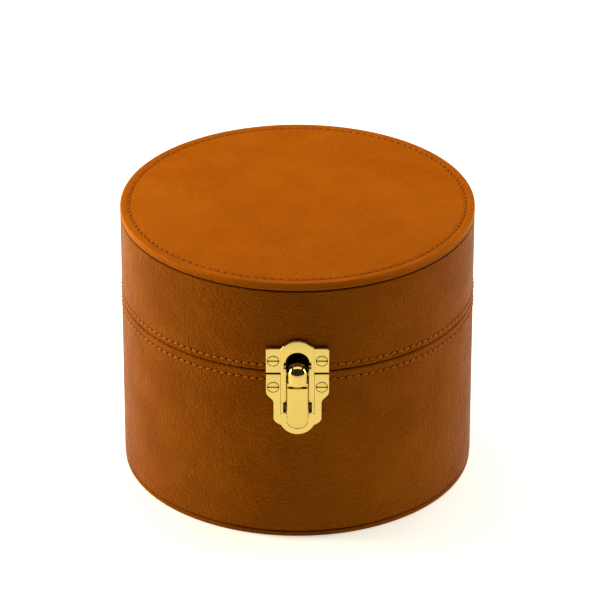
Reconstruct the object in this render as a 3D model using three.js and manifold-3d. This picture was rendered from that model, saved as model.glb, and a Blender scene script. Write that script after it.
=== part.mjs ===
// A round leather jewellery case: a leather-wrapped base and hinged lid, a brass lever clasp in front,
// a brass stop hinge behind, a suede-lined well, and a tray that lifts out.
// Millimetres, +Z up. The origin is the centre of the underside. The clasp faces -Y, the hinge +Y.

import * as THREE from "three";
import { mergeVertices } from "three/addons/utils/BufferGeometryUtils.js";
import Module from "manifold-3d";

const wasm = await Module();
wasm.setup();

// ---------------------------------------------------------------- driving dimensions

// The case as a whole.
const OUTER_RADIUS = 80; // to the leather
const BASE_HEIGHT = 84.6; // underside to the middle of the split
const LID_WALL_HEIGHT = 39.8; // middle of the split to the groove under the top disc
const TOP_EDGE_HEIGHT = 3.6; // the top disc's upright edge
const TOP_CROWN = 1.6; // rise of the padded top from its edge to its centre
const BOTTOM_DISC_HEIGHT = 2.5;
const SPLIT_GAP = 0.6; // between the two turned leather rims
const TOP_GROOVE = 0.6; // shadow groove under the top disc
const BOTTOM_GROOVE = 0.5; // shadow groove above the bottom disc
const FACETS = 48; // sides of the big round pieces

// Material thicknesses.
const GAP = 0.3; // between pieces that touch
const LEATHER = 1.2;
const BASE_CORE = 4.2; // bentwood wall of the base
const LID_CORE = 2.5; // bentwood wall of the lid
const FLOOR = 4; // the base's floor board
const LID_BOARD = 3.5; // the lid's ceiling board
const RIM_ROUND = 1.2; // rounding of the turned leather edges

// The neck and the well.
const NECK_WALL = 2.4;
const NECK_RISE = 5.5; // how far the neck stands above the split
const WELL_RING = 3; // thickness of the ring that the tray rests on
const FLOOR_PAD = 4;

// The lining of the lid and its mirror.
const LINING = 0.8;
const HEADLINER = 2.5;
const MIRROR_RADIUS = 50;
const MIRROR_THICK = 2.2;
const FRAME_WIDTH = 3.7; // mirror frame, outside the glass
const FRAME_LIP = 1.5; // how far the frame's lip laps the glass
const FRAME_LIP_THICK = 0.8;

// The padded top.
const TOP_BOARD = 1.4;

// The tray.
const TRAY_CLEARANCE = 0.7; // tray to neck
const TRAY_HEIGHT = 29;
const TRAY_DROP = 8.8; // the tray's rim lies this far below the top of the neck
const TRAY_WALL = 2.2;
const DIVIDER = 2;
const DIVIDER_DROP = 2; // the dividers stop this far below the tray's rim
const DIVIDER_Y = 6; // front face of the long divider
const ROLL_COUNT = 5;
const ROLL_GAP = 0.4; // between neighbouring rolls
const FRONT_ROOM = 12.35; // left in front of the last roll, where the tray curves away
const PAD = 2.5;
const TAB_WIDTH = 14;
const TAB_HEIGHT = 18;
const TAB_THICK = 1.4;
const TAB_STANDS = 4.7; // above the tray's rim

// Brass plates, measured outward from the leather and up from the split.
const PLATE_FACE = 1.4;
const SHOULDER_TOP = 12.3;
const CORNER = 1.2;
const HASP_FACE = 2.1;
const HASP_LEG = 20.2; // how far the legs reach below the split
const HASP_LEG_WIDTH = 2.3;
const LEVER_CLEARANCE = 0.45; // lever to the leg on each side
const KNOB_CLEARANCE = 4.6; // top of the knob to the top of the opening
const ARCH_BAND = 5.8; // plate above the opening
const ARCH_OVERHANG = 1.5; // the arch is wider than the legs by this much on each side
const CUP_WALL = 0.4; // the pocket behind the opening
const CHEEK_WIDTH = 1;
const CHEEK_WALL = 0.7; // in front of the pivot's hole
const CHEEK_FLAT = 1; // half the flat beside the pivot
const CHEEK_ROUND = 0.6;
const CHEEK_TOP = 7.5;
const CHEEK_FOOT = 13.3;
const NOTCH_TOP = 14.3;
const NOTCH_BOTTOM = 19.2;
const NOTCH_DEPTH = 1.1;
const PLATE_GAP = 0.4; // between the two clasp plates
const SHOULDER_FOOT = 9.2; // base plate: foot of the shoulders, below the split
const WAIST_TOP = 15.2;
const WAIST_WALL = 2.9; // plate outside the slots for the legs
const WAIST_DROP = 2.1; // the waist ends this far below those slots
const WAIST_CURVE = 2.8; // reach of the curves into the waist
const WAIST_ROUND = 2; // rounding under the waist
const TOE_START = 3.7; // the toe's arc starts this far below the waist
const TOE_WALL = 2.95; // plate beside the lever's recess
const TOE_DROP = 2.8; // plate below the recess
const RECESS_FLOOR = 0.8;
const SCREW_TO_HASP = 0.5; // from a head's pocket to the raised hasp
const SCREW_TO_EDGE = 0.4; // from a head's pocket to the plate's edge
const LID_SCREW_Z = 6.2;
const BASE_SCREW_Z = -6.9;

// The lever.
const PIVOT_OUT = 3.1;
const PIVOT_UP = 1;
const PIVOT_PIN_RADIUS = 0.7;
const KNOB_RADIUS = 4.9;
const KNOB_FOOT = 3.5; // end of the knob, below the split
const LEVER_HALF_WIDTH = 4.65;
const LEVER_BACK = 0.8; // back of the lever, behind the pivot
const KNOB_STEP = 0.7; // the knob stands this far proud of the paddle
const PADDLE_END = 1.9; // face of the paddle at its tip
const LEVER_FOOT = 27.7;
const TIP_LENGTH = 6.2;
const TIP_SLOPE = 1.2; // length of the slope behind the tip
const SPRING_THICK = 0.4;
const SPRING_TOP = 11;
const NOSE_HEIGHT = 2.4;

// Screws.
const HEAD_RADIUS = 2.5;
const HEAD_HEIGHT = 0.65;
const SHANK_RADIUS = 1.2;
const SHANK_LENGTH = 4.2;
const DRIVE_WIDTH = 0.6;
const DRIVE_DEPTH = 0.45;

// The hinge.
const HINGE_HALF_WIDTH = 17;
const LEAF_HEIGHT = 15;
const LEAF_FACE = 1.5;
const KNUCKLE_RADIUS = 2.6;
const KNUCKLE_OUT = 3;
const LID_KNUCKLE_HALF = 5.7;
const HINGE_PIN_RADIUS = 1.1;
const HINGE_SCREW_X = 11;
const HINGE_SCREW_Z = 9.5;
const OPEN_ANGLE = THREE.MathUtils.degToRad(95);
const HEEL_REACH = 6.3;
const HEEL_THICK = 1.5;
const HEEL_HALF_WIDTH = 4;

// ---------------------------------------------------------------- levels and radii worked out from them

const baseRim = BASE_HEIGHT - SPLIT_GAP / 2;
const lidRim = BASE_HEIGHT + SPLIT_GAP / 2;
const topGroove = BASE_HEIGHT + LID_WALL_HEIGHT;
const topDiscFoot = topGroove + TOP_GROOVE / 2;
const lidWallTop = topGroove - TOP_GROOVE / 2;
const topEdge = topDiscFoot + TOP_EDGE_HEIGHT;

const leatherInside = OUTER_RADIUS - LEATHER;
const coreOutside = leatherInside - GAP;
const baseCoreInside = coreOutside - BASE_CORE;
const lidCoreInside = coreOutside - LID_CORE;
const floorUnderside = BOTTOM_DISC_HEIGHT + GAP;
const floorTop = floorUnderside + FLOOR;

const neckOutside = baseCoreInside - GAP;
const neckInside = neckOutside - NECK_WALL;
const neckTop = BASE_HEIGHT + NECK_RISE;
const wellOutside = neckInside - GAP;
const wellInside = wellOutside - WELL_RING;
const wellFloor = floorTop + GAP;

const liningOutside = lidCoreInside - GAP;
const liningInside = liningOutside - LINING;
const boardUnderside = lidWallTop - LID_BOARD;
const headlinerTop = boardUnderside - GAP;
const headlinerFoot = headlinerTop - HEADLINER;
const mirrorTop = headlinerFoot - GAP;

const trayOutside = neckInside - TRAY_CLEARANCE;
const trayInside = trayOutside - TRAY_WALL;
const trayRim = neckTop - TRAY_DROP;
const trayFoot = trayRim - TRAY_HEIGHT;
const trayFloor = trayFoot + TRAY_WALL;
const wellTop = trayFoot - GAP;
const trayFit = trayInside - GAP; // radius that holds everything in the tray
const trayDeck = trayFloor + GAP; // what lies in the tray starts here

const seatRadius = OUTER_RADIUS + GAP; // backs of the brass plates
const pivotHole = PIVOT_PIN_RADIUS + GAP;
const hingeHole = HINGE_PIN_RADIUS + GAP;
const headPocket = HEAD_RADIUS + GAP;
const shankHole = SHANK_RADIUS + GAP;
const slotHalfWidth = LEVER_HALF_WIDTH + LEVER_CLEARANCE; // opening between the hasp's legs
const slotTop = PIVOT_UP + KNOB_RADIUS + KNOB_CLEARANCE;
const haspHalfWidth = slotHalfWidth + HASP_LEG_WIDTH;
const archRadius = haspHalfWidth + ARCH_OVERHANG;
const archCentre = slotTop + ARCH_BAND - archRadius;
const cheekFace = PIVOT_OUT + pivotHole + CHEEK_WALL;
const claspScrewX = haspHalfWidth + SCREW_TO_HASP + headPocket;
const claspHalfWidth = claspScrewX + headPocket + SCREW_TO_EDGE;
const waistHalfWidth = haspHalfWidth + GAP + WAIST_WALL;
const waistFoot = HASP_LEG + GAP + WAIST_DROP;
const toeRadius = LEVER_HALF_WIDTH + GAP + TOE_WALL;
const toeCentre = LEVER_FOOT + GAP + TOE_DROP - toeRadius;
const paddleStart = PIVOT_OUT + KNOB_RADIUS - KNOB_STEP; // face of the paddle just under the knob
const cupHalfWidth = slotHalfWidth + CUP_WALL;
const cupFloor = PIVOT_OUT - KNOB_RADIUS - GAP; // clears the knob when the lever is lifted
const notchHalfWidth = cupHalfWidth + GAP;

// ---------------------------------------------------------------- shapes

// A closed three.js geometry as a manifold-3d solid.
function solid(geometry) {
  const bare = geometry.clone();
  bare.deleteAttribute("normal");
  bare.deleteAttribute("uv");
  const merged = mergeVertices(bare, 1e-4);
  return new wasm.Manifold(
    new wasm.Mesh({
      numProp: 3,
      vertProperties: merged.getAttribute("position").array,
      triVerts: new Uint32Array(merged.index.array),
    }),
  );
}

// A manifold-3d solid as a flat-shaded three.js geometry.
function geometryOf(made) {
  const mesh = made.getMesh();
  const indexed = new THREE.BufferGeometry();
  indexed.setAttribute("position", new THREE.BufferAttribute(mesh.vertProperties, 3));
  indexed.setIndex(new THREE.BufferAttribute(mesh.triVerts, 1));
  const flat = indexed.toNonIndexed();
  flat.computeVertexNormals();
  return flat;
}

function joined(solids) {
  return solids.reduce((whole, piece) => whole.add(piece));
}

function without(whole, cutters) {
  return cutters.reduce((left, cutter) => left.subtract(cutter), whole);
}

// [radius, height] points turned about Z. They may run either way round.
function turned(profile, facets = FACETS) {
  const points = profile.map(([r, z]) => new THREE.Vector2(r, z));
  if (THREE.ShapeUtils.area(points) < 0) points.reverse();
  const onAxis = points.filter((p) => p.x === 0).length > 0;
  if (onAxis) {
    while (points[0].x !== 0 || points[points.length - 1].x !== 0) points.push(points.shift());
  } else {
    points.push(points[0].clone());
  }
  return new THREE.LatheGeometry(points, facets).rotateX(Math.PI / 2);
}

function box(x0, x1, y0, y1, z0, z1) {
  return new THREE.BoxGeometry(x1 - x0, y1 - y0, z1 - z0).translate(
    (x0 + x1) / 2,
    (y0 + y1) / 2,
    (z0 + z1) / 2,
  );
}

// A round bar along X.
function barAlongX(radius, x0, x1, y, z, facets = 16) {
  return new THREE.CylinderGeometry(radius, radius, x1 - x0, facets)
    .rotateZ(Math.PI / 2)
    .translate((x0 + x1) / 2, y, z);
}

// An outline in X and height above the split, made solid from one distance outward to another.
function outward(shape, near, far, curveSegments = 8) {
  return new THREE.ExtrudeGeometry(shape, { depth: far - near, bevelEnabled: false, curveSegments })
    .rotateX(Math.PI / 2)
    .translate(0, -OUTER_RADIUS - near, BASE_HEIGHT);
}

// [distance outward, height above the split] points, made solid from one X to another.
function across(profile, x0, x1) {
  const shape = new THREE.Shape(
    profile.map(([out, up]) => new THREE.Vector2(-OUTER_RADIUS - out, BASE_HEIGHT + up)),
  );
  const toPlace = new THREE.Matrix4().makeBasis(
    new THREE.Vector3(0, 1, 0),
    new THREE.Vector3(0, 0, 1),
    new THREE.Vector3(1, 0, 0),
  );
  return new THREE.ExtrudeGeometry(shape, { depth: x1 - x0, bevelEnabled: false })
    .applyMatrix4(toPlace)
    .translate(x0, 0, 0);
}

// A slab with a round top: straight sides from low up to the spring of the arc, which peaks at high.
function archShape(halfWidth, low, high) {
  const shape = new THREE.Shape();
  shape.moveTo(-halfWidth, low);
  shape.lineTo(halfWidth, low);
  shape.lineTo(halfWidth, high - halfWidth);
  shape.absarc(0, high - halfWidth, halfWidth, 0, Math.PI, false);
  return shape;
}

// A slab with a round bottom: the mirror image of the above, with its lowest point at low.
function footShape(halfWidth, low, high) {
  const shape = new THREE.Shape();
  shape.moveTo(halfWidth, high);
  shape.lineTo(-halfWidth, high);
  shape.lineTo(-halfWidth, low + halfWidth);
  shape.absarc(0, low + halfWidth, halfWidth, Math.PI, 2 * Math.PI, false);
  return shape;
}

function rectangleShape(x0, x1, z0, z1) {
  const shape = new THREE.Shape();
  shape.moveTo(x0, z0);
  shape.lineTo(x1, z0);
  shape.lineTo(x1, z1);
  shape.lineTo(x0, z1);
  return shape;
}

// The wall that the brass plates are seated on.
const wallCutter = solid(
  turned(
    [
      [0, -1],
      [seatRadius, -1],
      [seatRadius, topEdge + TOP_CROWN],
      [0, topEdge + TOP_CROWN],
    ],
    FACETS * 2,
  ),
);

function toBack(geometry) {
  return geometry.rotateZ(Math.PI);
}

// ---------------------------------------------------------------- screws

// Countersunk slotted screw, its axis along -Y, the underside of its head at the origin.
function screwGeometry() {
  const head = turned(
    [
      [0, 0],
      [HEAD_RADIUS, 0],
      [HEAD_RADIUS, HEAD_HEIGHT * 0.7],
      [HEAD_RADIUS * 0.8, HEAD_HEIGHT],
      [0, HEAD_HEIGHT * 1.1],
    ],
    20,
  );
  const shank = turned(
    [
      [0, -SHANK_LENGTH],
      [SHANK_RADIUS * 0.5, -SHANK_LENGTH],
      [SHANK_RADIUS, -SHANK_LENGTH + SHANK_RADIUS],
      [SHANK_RADIUS, HEAD_HEIGHT / 2],
      [0, HEAD_HEIGHT / 2],
    ],
    10,
  );
  const drive = box(
    -HEAD_RADIUS - 1,
    HEAD_RADIUS + 1,
    -DRIVE_WIDTH / 2,
    DRIVE_WIDTH / 2,
    HEAD_HEIGHT * 1.1 - DRIVE_DEPTH,
    HEAD_HEIGHT * 2,
  );
  return geometryOf(solid(head).add(solid(shank)).subtract(solid(drive))).rotateX(Math.PI / 2);
}

const screws = [
  { name: "clasp_screw_lid", x: claspScrewX, up: LID_SCREW_Z, face: PLATE_FACE, side: -1, on: "lid" },
  { name: "clasp_screw_base", x: claspScrewX, up: BASE_SCREW_Z, face: PLATE_FACE, side: -1, on: "base" },
  { name: "hinge_screw_lid", x: HINGE_SCREW_X, up: HINGE_SCREW_Z, face: LEAF_FACE, side: 1, on: "lid" },
  { name: "hinge_screw_base", x: HINGE_SCREW_X, up: -HINGE_SCREW_Z, face: LEAF_FACE, side: 1, on: "base" },
].flatMap((row) => [
  { ...row, name: row.name + "_left", x: -row.x },
  { ...row, name: row.name + "_right" },
]);

// The pocket for a screw's head and the hole for its shank, through plate, leather and core.
function screwCutters(screw) {
  const bottom = screw.face - HEAD_HEIGHT - GAP;
  const pocket = new THREE.CylinderGeometry(headPocket, headPocket, 4, 20)
    .translate(0, -2 - bottom, 0);
  const hole = new THREE.CylinderGeometry(shankHole, shankHole, SHANK_LENGTH + GAP + 2, 10)
    .translate(0, (SHANK_LENGTH + GAP - 2) / 2 - screw.face + HEAD_HEIGHT, 0);
  return [pocket, hole].map((geometry) => {
    geometry.translate(0, -OUTER_RADIUS, 0);
    if (screw.side > 0) toBack(geometry);
    return solid(geometry.translate(screw.x, 0, BASE_HEIGHT + screw.up));
  });
}

function holesOn(body, side) {
  return screws
    .filter((screw) => screw.on === body && (side === undefined || screw.side === side))
    .flatMap(screwCutters);
}

function shankHolesOn(body) {
  return screws.filter((screw) => screw.on === body).map((screw) => screwCutters(screw)[1]);
}

// ---------------------------------------------------------------- the base

function bottomDisc() {
  const edge = OUTER_RADIUS - 0.2;
  return turned([
    [0, 0],
    [edge - 0.8, 0],
    [edge, 0.8],
    [edge, BOTTOM_DISC_HEIGHT - 0.6],
    [edge - 0.6, BOTTOM_DISC_HEIGHT],
    [0, BOTTOM_DISC_HEIGHT],
  ]);
}

function baseShell() {
  const top = baseRim - LEATHER - GAP;
  const ring = turned([
    [baseCoreInside, floorUnderside],
    [coreOutside, floorUnderside],
    [coreOutside, top],
    [baseCoreInside, top],
  ]);
  return geometryOf(without(solid(ring), shankHolesOn("base")));
}

function baseFloor() {
  const radius = baseCoreInside - GAP;
  return turned([
    [0, floorUnderside],
    [radius, floorUnderside],
    [radius, floorTop],
    [0, floorTop],
  ]);
}

function baseLeather() {
  const foot = BOTTOM_DISC_HEIGHT + BOTTOM_GROOVE;
  const wrap = turned([
    [leatherInside, foot],
    [OUTER_RADIUS - RIM_ROUND / 3, foot],
    [OUTER_RADIUS, foot + RIM_ROUND / 2],
    [OUTER_RADIUS, baseRim - RIM_ROUND],
    [OUTER_RADIUS - RIM_ROUND * 0.3, baseRim - RIM_ROUND * 0.3],
    [OUTER_RADIUS - RIM_ROUND, baseRim],
    [baseCoreInside, baseRim],
    [baseCoreInside, baseRim - LEATHER],
    [leatherInside, baseRim - LEATHER],
  ]);
  return geometryOf(without(solid(wrap), shankHolesOn("base")));
}

function neckRing() {
  const round = NECK_WALL * 0.3;
  return turned([
    [neckInside, wellFloor],
    [neckOutside, wellFloor],
    [neckOutside, neckTop - round],
    [neckOutside - round, neckTop],
    [neckInside + round, neckTop],
    [neckInside, neckTop - round],
  ]);
}

function wellRing() {
  return turned([
    [wellInside, wellFloor],
    [wellOutside, wellFloor],
    [wellOutside, wellTop],
    [wellInside, wellTop],
  ]);
}

function floorPad() {
  const radius = wellInside - GAP;
  return turned([
    [0, wellFloor],
    [radius, wellFloor],
    [radius, wellFloor + FLOOR_PAD * 0.7],
    [radius - FLOOR_PAD * 0.3, wellFloor + FLOOR_PAD],
    [0, wellFloor + FLOOR_PAD],
  ]);
}

// ---------------------------------------------------------------- the lid

// The space cut in the lid's wall for the pocket behind the clasp's opening.
function lidNotch() {
  const high = slotTop + CUP_WALL + GAP;
  return solid(outward(archShape(notchHalfWidth, -1, high), cupFloor - CUP_WALL - GAP, 2));
}

function lidShell() {
  const foot = lidRim + LEATHER + GAP;
  const ring = turned([
    [lidCoreInside, foot],
    [coreOutside, foot],
    [coreOutside, lidWallTop],
    [lidCoreInside, lidWallTop],
  ]);
  return geometryOf(without(solid(ring), [lidNotch(), ...shankHolesOn("lid")]));
}

function lidCeiling() {
  const radius = lidCoreInside - GAP;
  return turned([
    [0, boardUnderside],
    [radius, boardUnderside],
    [radius, lidWallTop],
    [0, lidWallTop],
  ]);
}

function lidLeather() {
  const wrap = turned([
    [lidCoreInside, lidRim],
    [OUTER_RADIUS - RIM_ROUND, lidRim],
    [OUTER_RADIUS - RIM_ROUND * 0.3, lidRim + RIM_ROUND * 0.3],
    [OUTER_RADIUS, lidRim + RIM_ROUND],
    [OUTER_RADIUS, lidWallTop - RIM_ROUND / 2],
    [OUTER_RADIUS - RIM_ROUND / 3, lidWallTop],
    [leatherInside, lidWallTop],
    [leatherInside, lidRim + LEATHER],
    [lidCoreInside, lidRim + LEATHER],
  ]);
  return geometryOf(without(solid(wrap), [lidNotch(), ...shankHolesOn("lid")]));
}

// Height of the padded top's leather at a radius, from its rim to its crown.
function crownAt(radius) {
  return topEdge + TOP_CROWN * (1 - (radius / OUTER_RADIUS) ** 2);
}

function topBoard() {
  return turned([
    [0, topDiscFoot],
    [coreOutside, topDiscFoot],
    [coreOutside, topDiscFoot + TOP_BOARD],
    [0, topDiscFoot + TOP_BOARD],
  ]);
}

function topFoam() {
  const foot = topDiscFoot + TOP_BOARD + GAP;
  const radius = coreOutside - LEATHER;
  const under = (r) => [r, crownAt(r) - LEATHER - GAP];
  return turned([[0, foot], [radius, foot], under(radius), under(radius * 0.6), under(0)]);
}

function topLeather() {
  const inside = (r) => [r, crownAt(r) - LEATHER];
  const outside = (r) => [r, crownAt(r)];
  return turned([
    [leatherInside, topDiscFoot],
    [OUTER_RADIUS - RIM_ROUND / 3, topDiscFoot],
    [OUTER_RADIUS, topDiscFoot + RIM_ROUND / 3],
    [OUTER_RADIUS, topEdge - RIM_ROUND],
    [OUTER_RADIUS - RIM_ROUND * 0.3, topEdge - RIM_ROUND * 0.3],
    outside(OUTER_RADIUS - RIM_ROUND),
    outside(OUTER_RADIUS * 0.6),
    outside(0),
    inside(0),
    inside(OUTER_RADIUS * 0.6),
    inside(leatherInside),
  ]);
}

function lidLining() {
  return turned([
    [liningInside, lidRim + GAP],
    [liningOutside, lidRim + GAP],
    [liningOutside, headlinerTop],
    [liningInside, headlinerTop],
  ]);
}

function headliner() {
  const radius = liningInside - GAP;
  return turned([
    [0, headlinerFoot],
    [radius - 0.8, headlinerFoot],
    [radius, headlinerFoot + 0.8],
    [radius, headlinerTop],
    [0, headlinerTop],
  ]);
}

function mirrorGlass() {
  return turned([
    [0, mirrorTop - MIRROR_THICK],
    [MIRROR_RADIUS, mirrorTop - MIRROR_THICK],
    [MIRROR_RADIUS, mirrorTop],
    [0, mirrorTop],
  ]);
}

function mirrorFrame() {
  const inside = MIRROR_RADIUS + GAP;
  const outside = inside + FRAME_WIDTH;
  const lipTop = mirrorTop - MIRROR_THICK - GAP;
  const foot = lipTop - FRAME_LIP_THICK;
  return turned([
    [MIRROR_RADIUS - FRAME_LIP, foot],
    [outside - FRAME_WIDTH * 0.4, foot],
    [outside, lipTop],
    [outside, mirrorTop],
    [inside, mirrorTop],
    [inside, lipTop],
    [MIRROR_RADIUS - FRAME_LIP, lipTop],
  ]);
}

// ---------------------------------------------------------------- the clasp

// The lid's plate: shoulders, arch, the two legs of the hasp, the cheeks for the pivot and the pocket.
function claspLidPlate() {
  const shoulders = new THREE.Shape();
  shoulders.moveTo(-claspHalfWidth, PLATE_GAP / 2);
  shoulders.lineTo(claspHalfWidth, PLATE_GAP / 2);
  shoulders.lineTo(claspHalfWidth, SHOULDER_TOP - CORNER);
  shoulders.absarc(claspHalfWidth - CORNER, SHOULDER_TOP - CORNER, CORNER, 0, Math.PI / 2, false);
  shoulders.lineTo(-claspHalfWidth + CORNER, SHOULDER_TOP);
  shoulders.absarc(-claspHalfWidth + CORNER, SHOULDER_TOP - CORNER, CORNER, Math.PI / 2, Math.PI, false);

  const spring = Math.asin(haspHalfWidth / archRadius);
  const hasp = new THREE.Shape();
  hasp.moveTo(-haspHalfWidth, -HASP_LEG);
  hasp.lineTo(haspHalfWidth, -HASP_LEG);
  hasp.absarc(0, archCentre, archRadius, Math.PI / 2 - spring, Math.PI / 2 + spring, false);

  const cheekProfile = [
    [RECESS_FLOOR, CHEEK_TOP],
    [HASP_FACE, CHEEK_TOP],
    [cheekFace - CHEEK_ROUND, PIVOT_UP + 2 * CHEEK_FLAT],
    [cheekFace, PIVOT_UP + CHEEK_FLAT],
    [cheekFace, PIVOT_UP - CHEEK_FLAT],
    [cheekFace - CHEEK_ROUND, PIVOT_UP - 2.4 * CHEEK_FLAT],
    [HASP_FACE, -CHEEK_FOOT],
    [RECESS_FLOOR, -CHEEK_FOOT],
  ];
  const cheekEnd = slotHalfWidth + CHEEK_WIDTH;
  const cheeks = [
    across(cheekProfile, -cheekEnd, -slotHalfWidth),
    across(cheekProfile, slotHalfWidth, cheekEnd),
  ];
  const plates = [outward(shoulders, -2, PLATE_FACE), outward(hasp, -1, HASP_FACE, 10), ...cheeks];
  const seated = joined(plates.map(solid)).subtract(wallCutter);

  const cupFoot = SPLIT_GAP / 2 + GAP;
  const cup = outward(
    archShape(cupHalfWidth, cupFoot, slotTop + CUP_WALL),
    cupFloor - CUP_WALL,
    RECESS_FLOOR,
  );
  const opening = outward(archShape(slotHalfWidth, -HASP_LEG - 1, slotTop), cupFloor, cheekFace + 1);
  const notch = slotHalfWidth + NOTCH_DEPTH;
  const notches = outward(rectangleShape(-notch, notch, -NOTCH_BOTTOM, -NOTCH_TOP), -2, cheekFace);
  const pinHole = barAlongX(
    pivotHole,
    -cheekEnd - 1,
    cheekEnd + 1,
    -OUTER_RADIUS - PIVOT_OUT,
    BASE_HEIGHT + PIVOT_UP,
  );
  const cutters = [opening, notches, pinHole].map(solid);
  return geometryOf(without(seated.add(solid(cup)), [...cutters, ...holesOn("lid", -1)]));
}

// The base's plate: shoulders, waist and round toe, with slots for the legs and a recess for the lever.
function claspBasePlate() {
  const toe = Math.asin((waistFoot + TOE_START - toeCentre) / toeRadius);
  const half = new THREE.Shape();
  half.moveTo(0, -toeCentre - toeRadius);
  half.absarc(0, -toeCentre, toeRadius, -Math.PI / 2, -toe, false);
  half.lineTo(waistHalfWidth - WAIST_ROUND, -waistFoot - WAIST_CURVE);
  half.quadraticCurveTo(
    waistHalfWidth,
    -waistFoot - WAIST_ROUND,
    waistHalfWidth,
    -waistFoot,
  );
  half.lineTo(waistHalfWidth, -WAIST_TOP);
  half.bezierCurveTo(
    waistHalfWidth,
    -WAIST_TOP + WAIST_CURVE,
    claspHalfWidth,
    -SHOULDER_FOOT - WAIST_CURVE,
    claspHalfWidth,
    -SHOULDER_FOOT,
  );
  half.lineTo(claspHalfWidth, -PLATE_GAP / 2);
  const right = half.getPoints(6);
  const left = right.slice(1).reverse().map((p) => new THREE.Vector2(-p.x, p.y));
  const outline = new THREE.Shape([...right, ...left]);
  const plate = solid(outward(outline, -2, PLATE_FACE)).subtract(wallCutter);

  const slotEdges = [slotHalfWidth - GAP, haspHalfWidth + GAP];
  const legSlots = [slotEdges, slotEdges.map((x) => -x).reverse()].map(([x0, x1]) =>
    outward(rectangleShape(x0, x1, -HASP_LEG - GAP, 1), -3, PLATE_FACE + 1),
  );
  const recess = outward(
    footShape(LEVER_HALF_WIDTH + GAP, -LEVER_FOOT - GAP, 1),
    RECESS_FLOOR,
    PLATE_FACE + 2,
  );
  const cutters = [...legSlots, recess].map(solid);
  return geometryOf(without(plate, [...cutters, ...holesOn("base", -1)]));
}

// The lever: a round knob on the pivot that runs down into a paddle, whose tip lies in the recess.
function claspLever() {
  const pivotY = -OUTER_RADIUS - PIVOT_OUT;
  const pivotZ = BASE_HEIGHT + PIVOT_UP;
  const narrowing = LEVER_HALF_WIDTH / KNOB_RADIUS;
  const dome = new THREE.SphereGeometry(KNOB_RADIUS, 24, 12)
    .scale(narrowing, 1, 1)
    .translate(0, pivotY, pivotZ);
  const column = new THREE.CylinderGeometry(KNOB_RADIUS, KNOB_RADIUS, PIVOT_UP + KNOB_FOOT, 24)
    .rotateX(Math.PI / 2)
    .scale(narrowing, 1, 1)
    .translate(0, pivotY, BASE_HEIGHT + (PIVOT_UP - KNOB_FOOT) / 2);
  const back = PIVOT_OUT - LEVER_BACK;
  const room = 2 * KNOB_RADIUS; // reaches past the knob every way
  const inFront = [
    [back, -room],
    [back + room, -room],
    [back + room, room],
    [back, room],
  ];
  const knob = joined([dome, column].map(solid)).intersect(solid(across(inFront, -room, room)));

  const tipBack = RECESS_FLOOR + GAP;
  const side = across(
    [
      [back, -KNOB_FOOT + 1],
      [back, -LEVER_FOOT + TIP_LENGTH + TIP_SLOPE],
      [tipBack, -LEVER_FOOT + TIP_LENGTH],
      [tipBack, -LEVER_FOOT],
      [PADDLE_END, -LEVER_FOOT],
      [paddleStart, -KNOB_FOOT],
      [paddleStart, -KNOB_FOOT + 1],
    ],
    -LEVER_HALF_WIDTH,
    LEVER_HALF_WIDTH,
  );
  const front = outward(footShape(LEVER_HALF_WIDTH, -LEVER_FOOT, 0), 0, paddleStart + 1, 10);
  const paddle = solid(side).intersect(solid(front));
  const pinHole = barAlongX(pivotHole, -LEVER_HALF_WIDTH - 1, LEVER_HALF_WIDTH + 1, pivotY, pivotZ);
  return geometryOf(knob.add(paddle).subtract(solid(pinHole)));
}

function claspPivotPin() {
  const half = slotHalfWidth + CHEEK_WIDTH - 0.15;
  return barAlongX(
    PIVOT_PIN_RADIUS,
    -half,
    half,
    -OUTER_RADIUS - PIVOT_OUT,
    BASE_HEIGHT + PIVOT_UP,
    12,
  );
}

// A leaf spring under the lever, whose two noses stand in the notches of the hasp's legs.
function catchSpring() {
  const near = RECESS_FLOOR + GAP;
  const noseMiddle = -(NOTCH_TOP + NOTCH_BOTTOM) / 2;
  const noseReach = slotHalfWidth + NOTCH_DEPTH - GAP;
  const noseLow = noseMiddle - NOSE_HEIGHT / 2;
  const noseHigh = noseMiddle + NOSE_HEIGHT / 2;
  const halfWidth = slotHalfWidth - 2 * GAP;
  const far = near + SPRING_THICK;
  const strip = outward(rectangleShape(-halfWidth, halfWidth, noseLow, -SPRING_TOP), near, far);
  const noses = outward(rectangleShape(-noseReach, noseReach, noseLow, noseHigh), near, far);
  return geometryOf(solid(strip).add(solid(noses)));
}

// ---------------------------------------------------------------- the hinge

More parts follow.
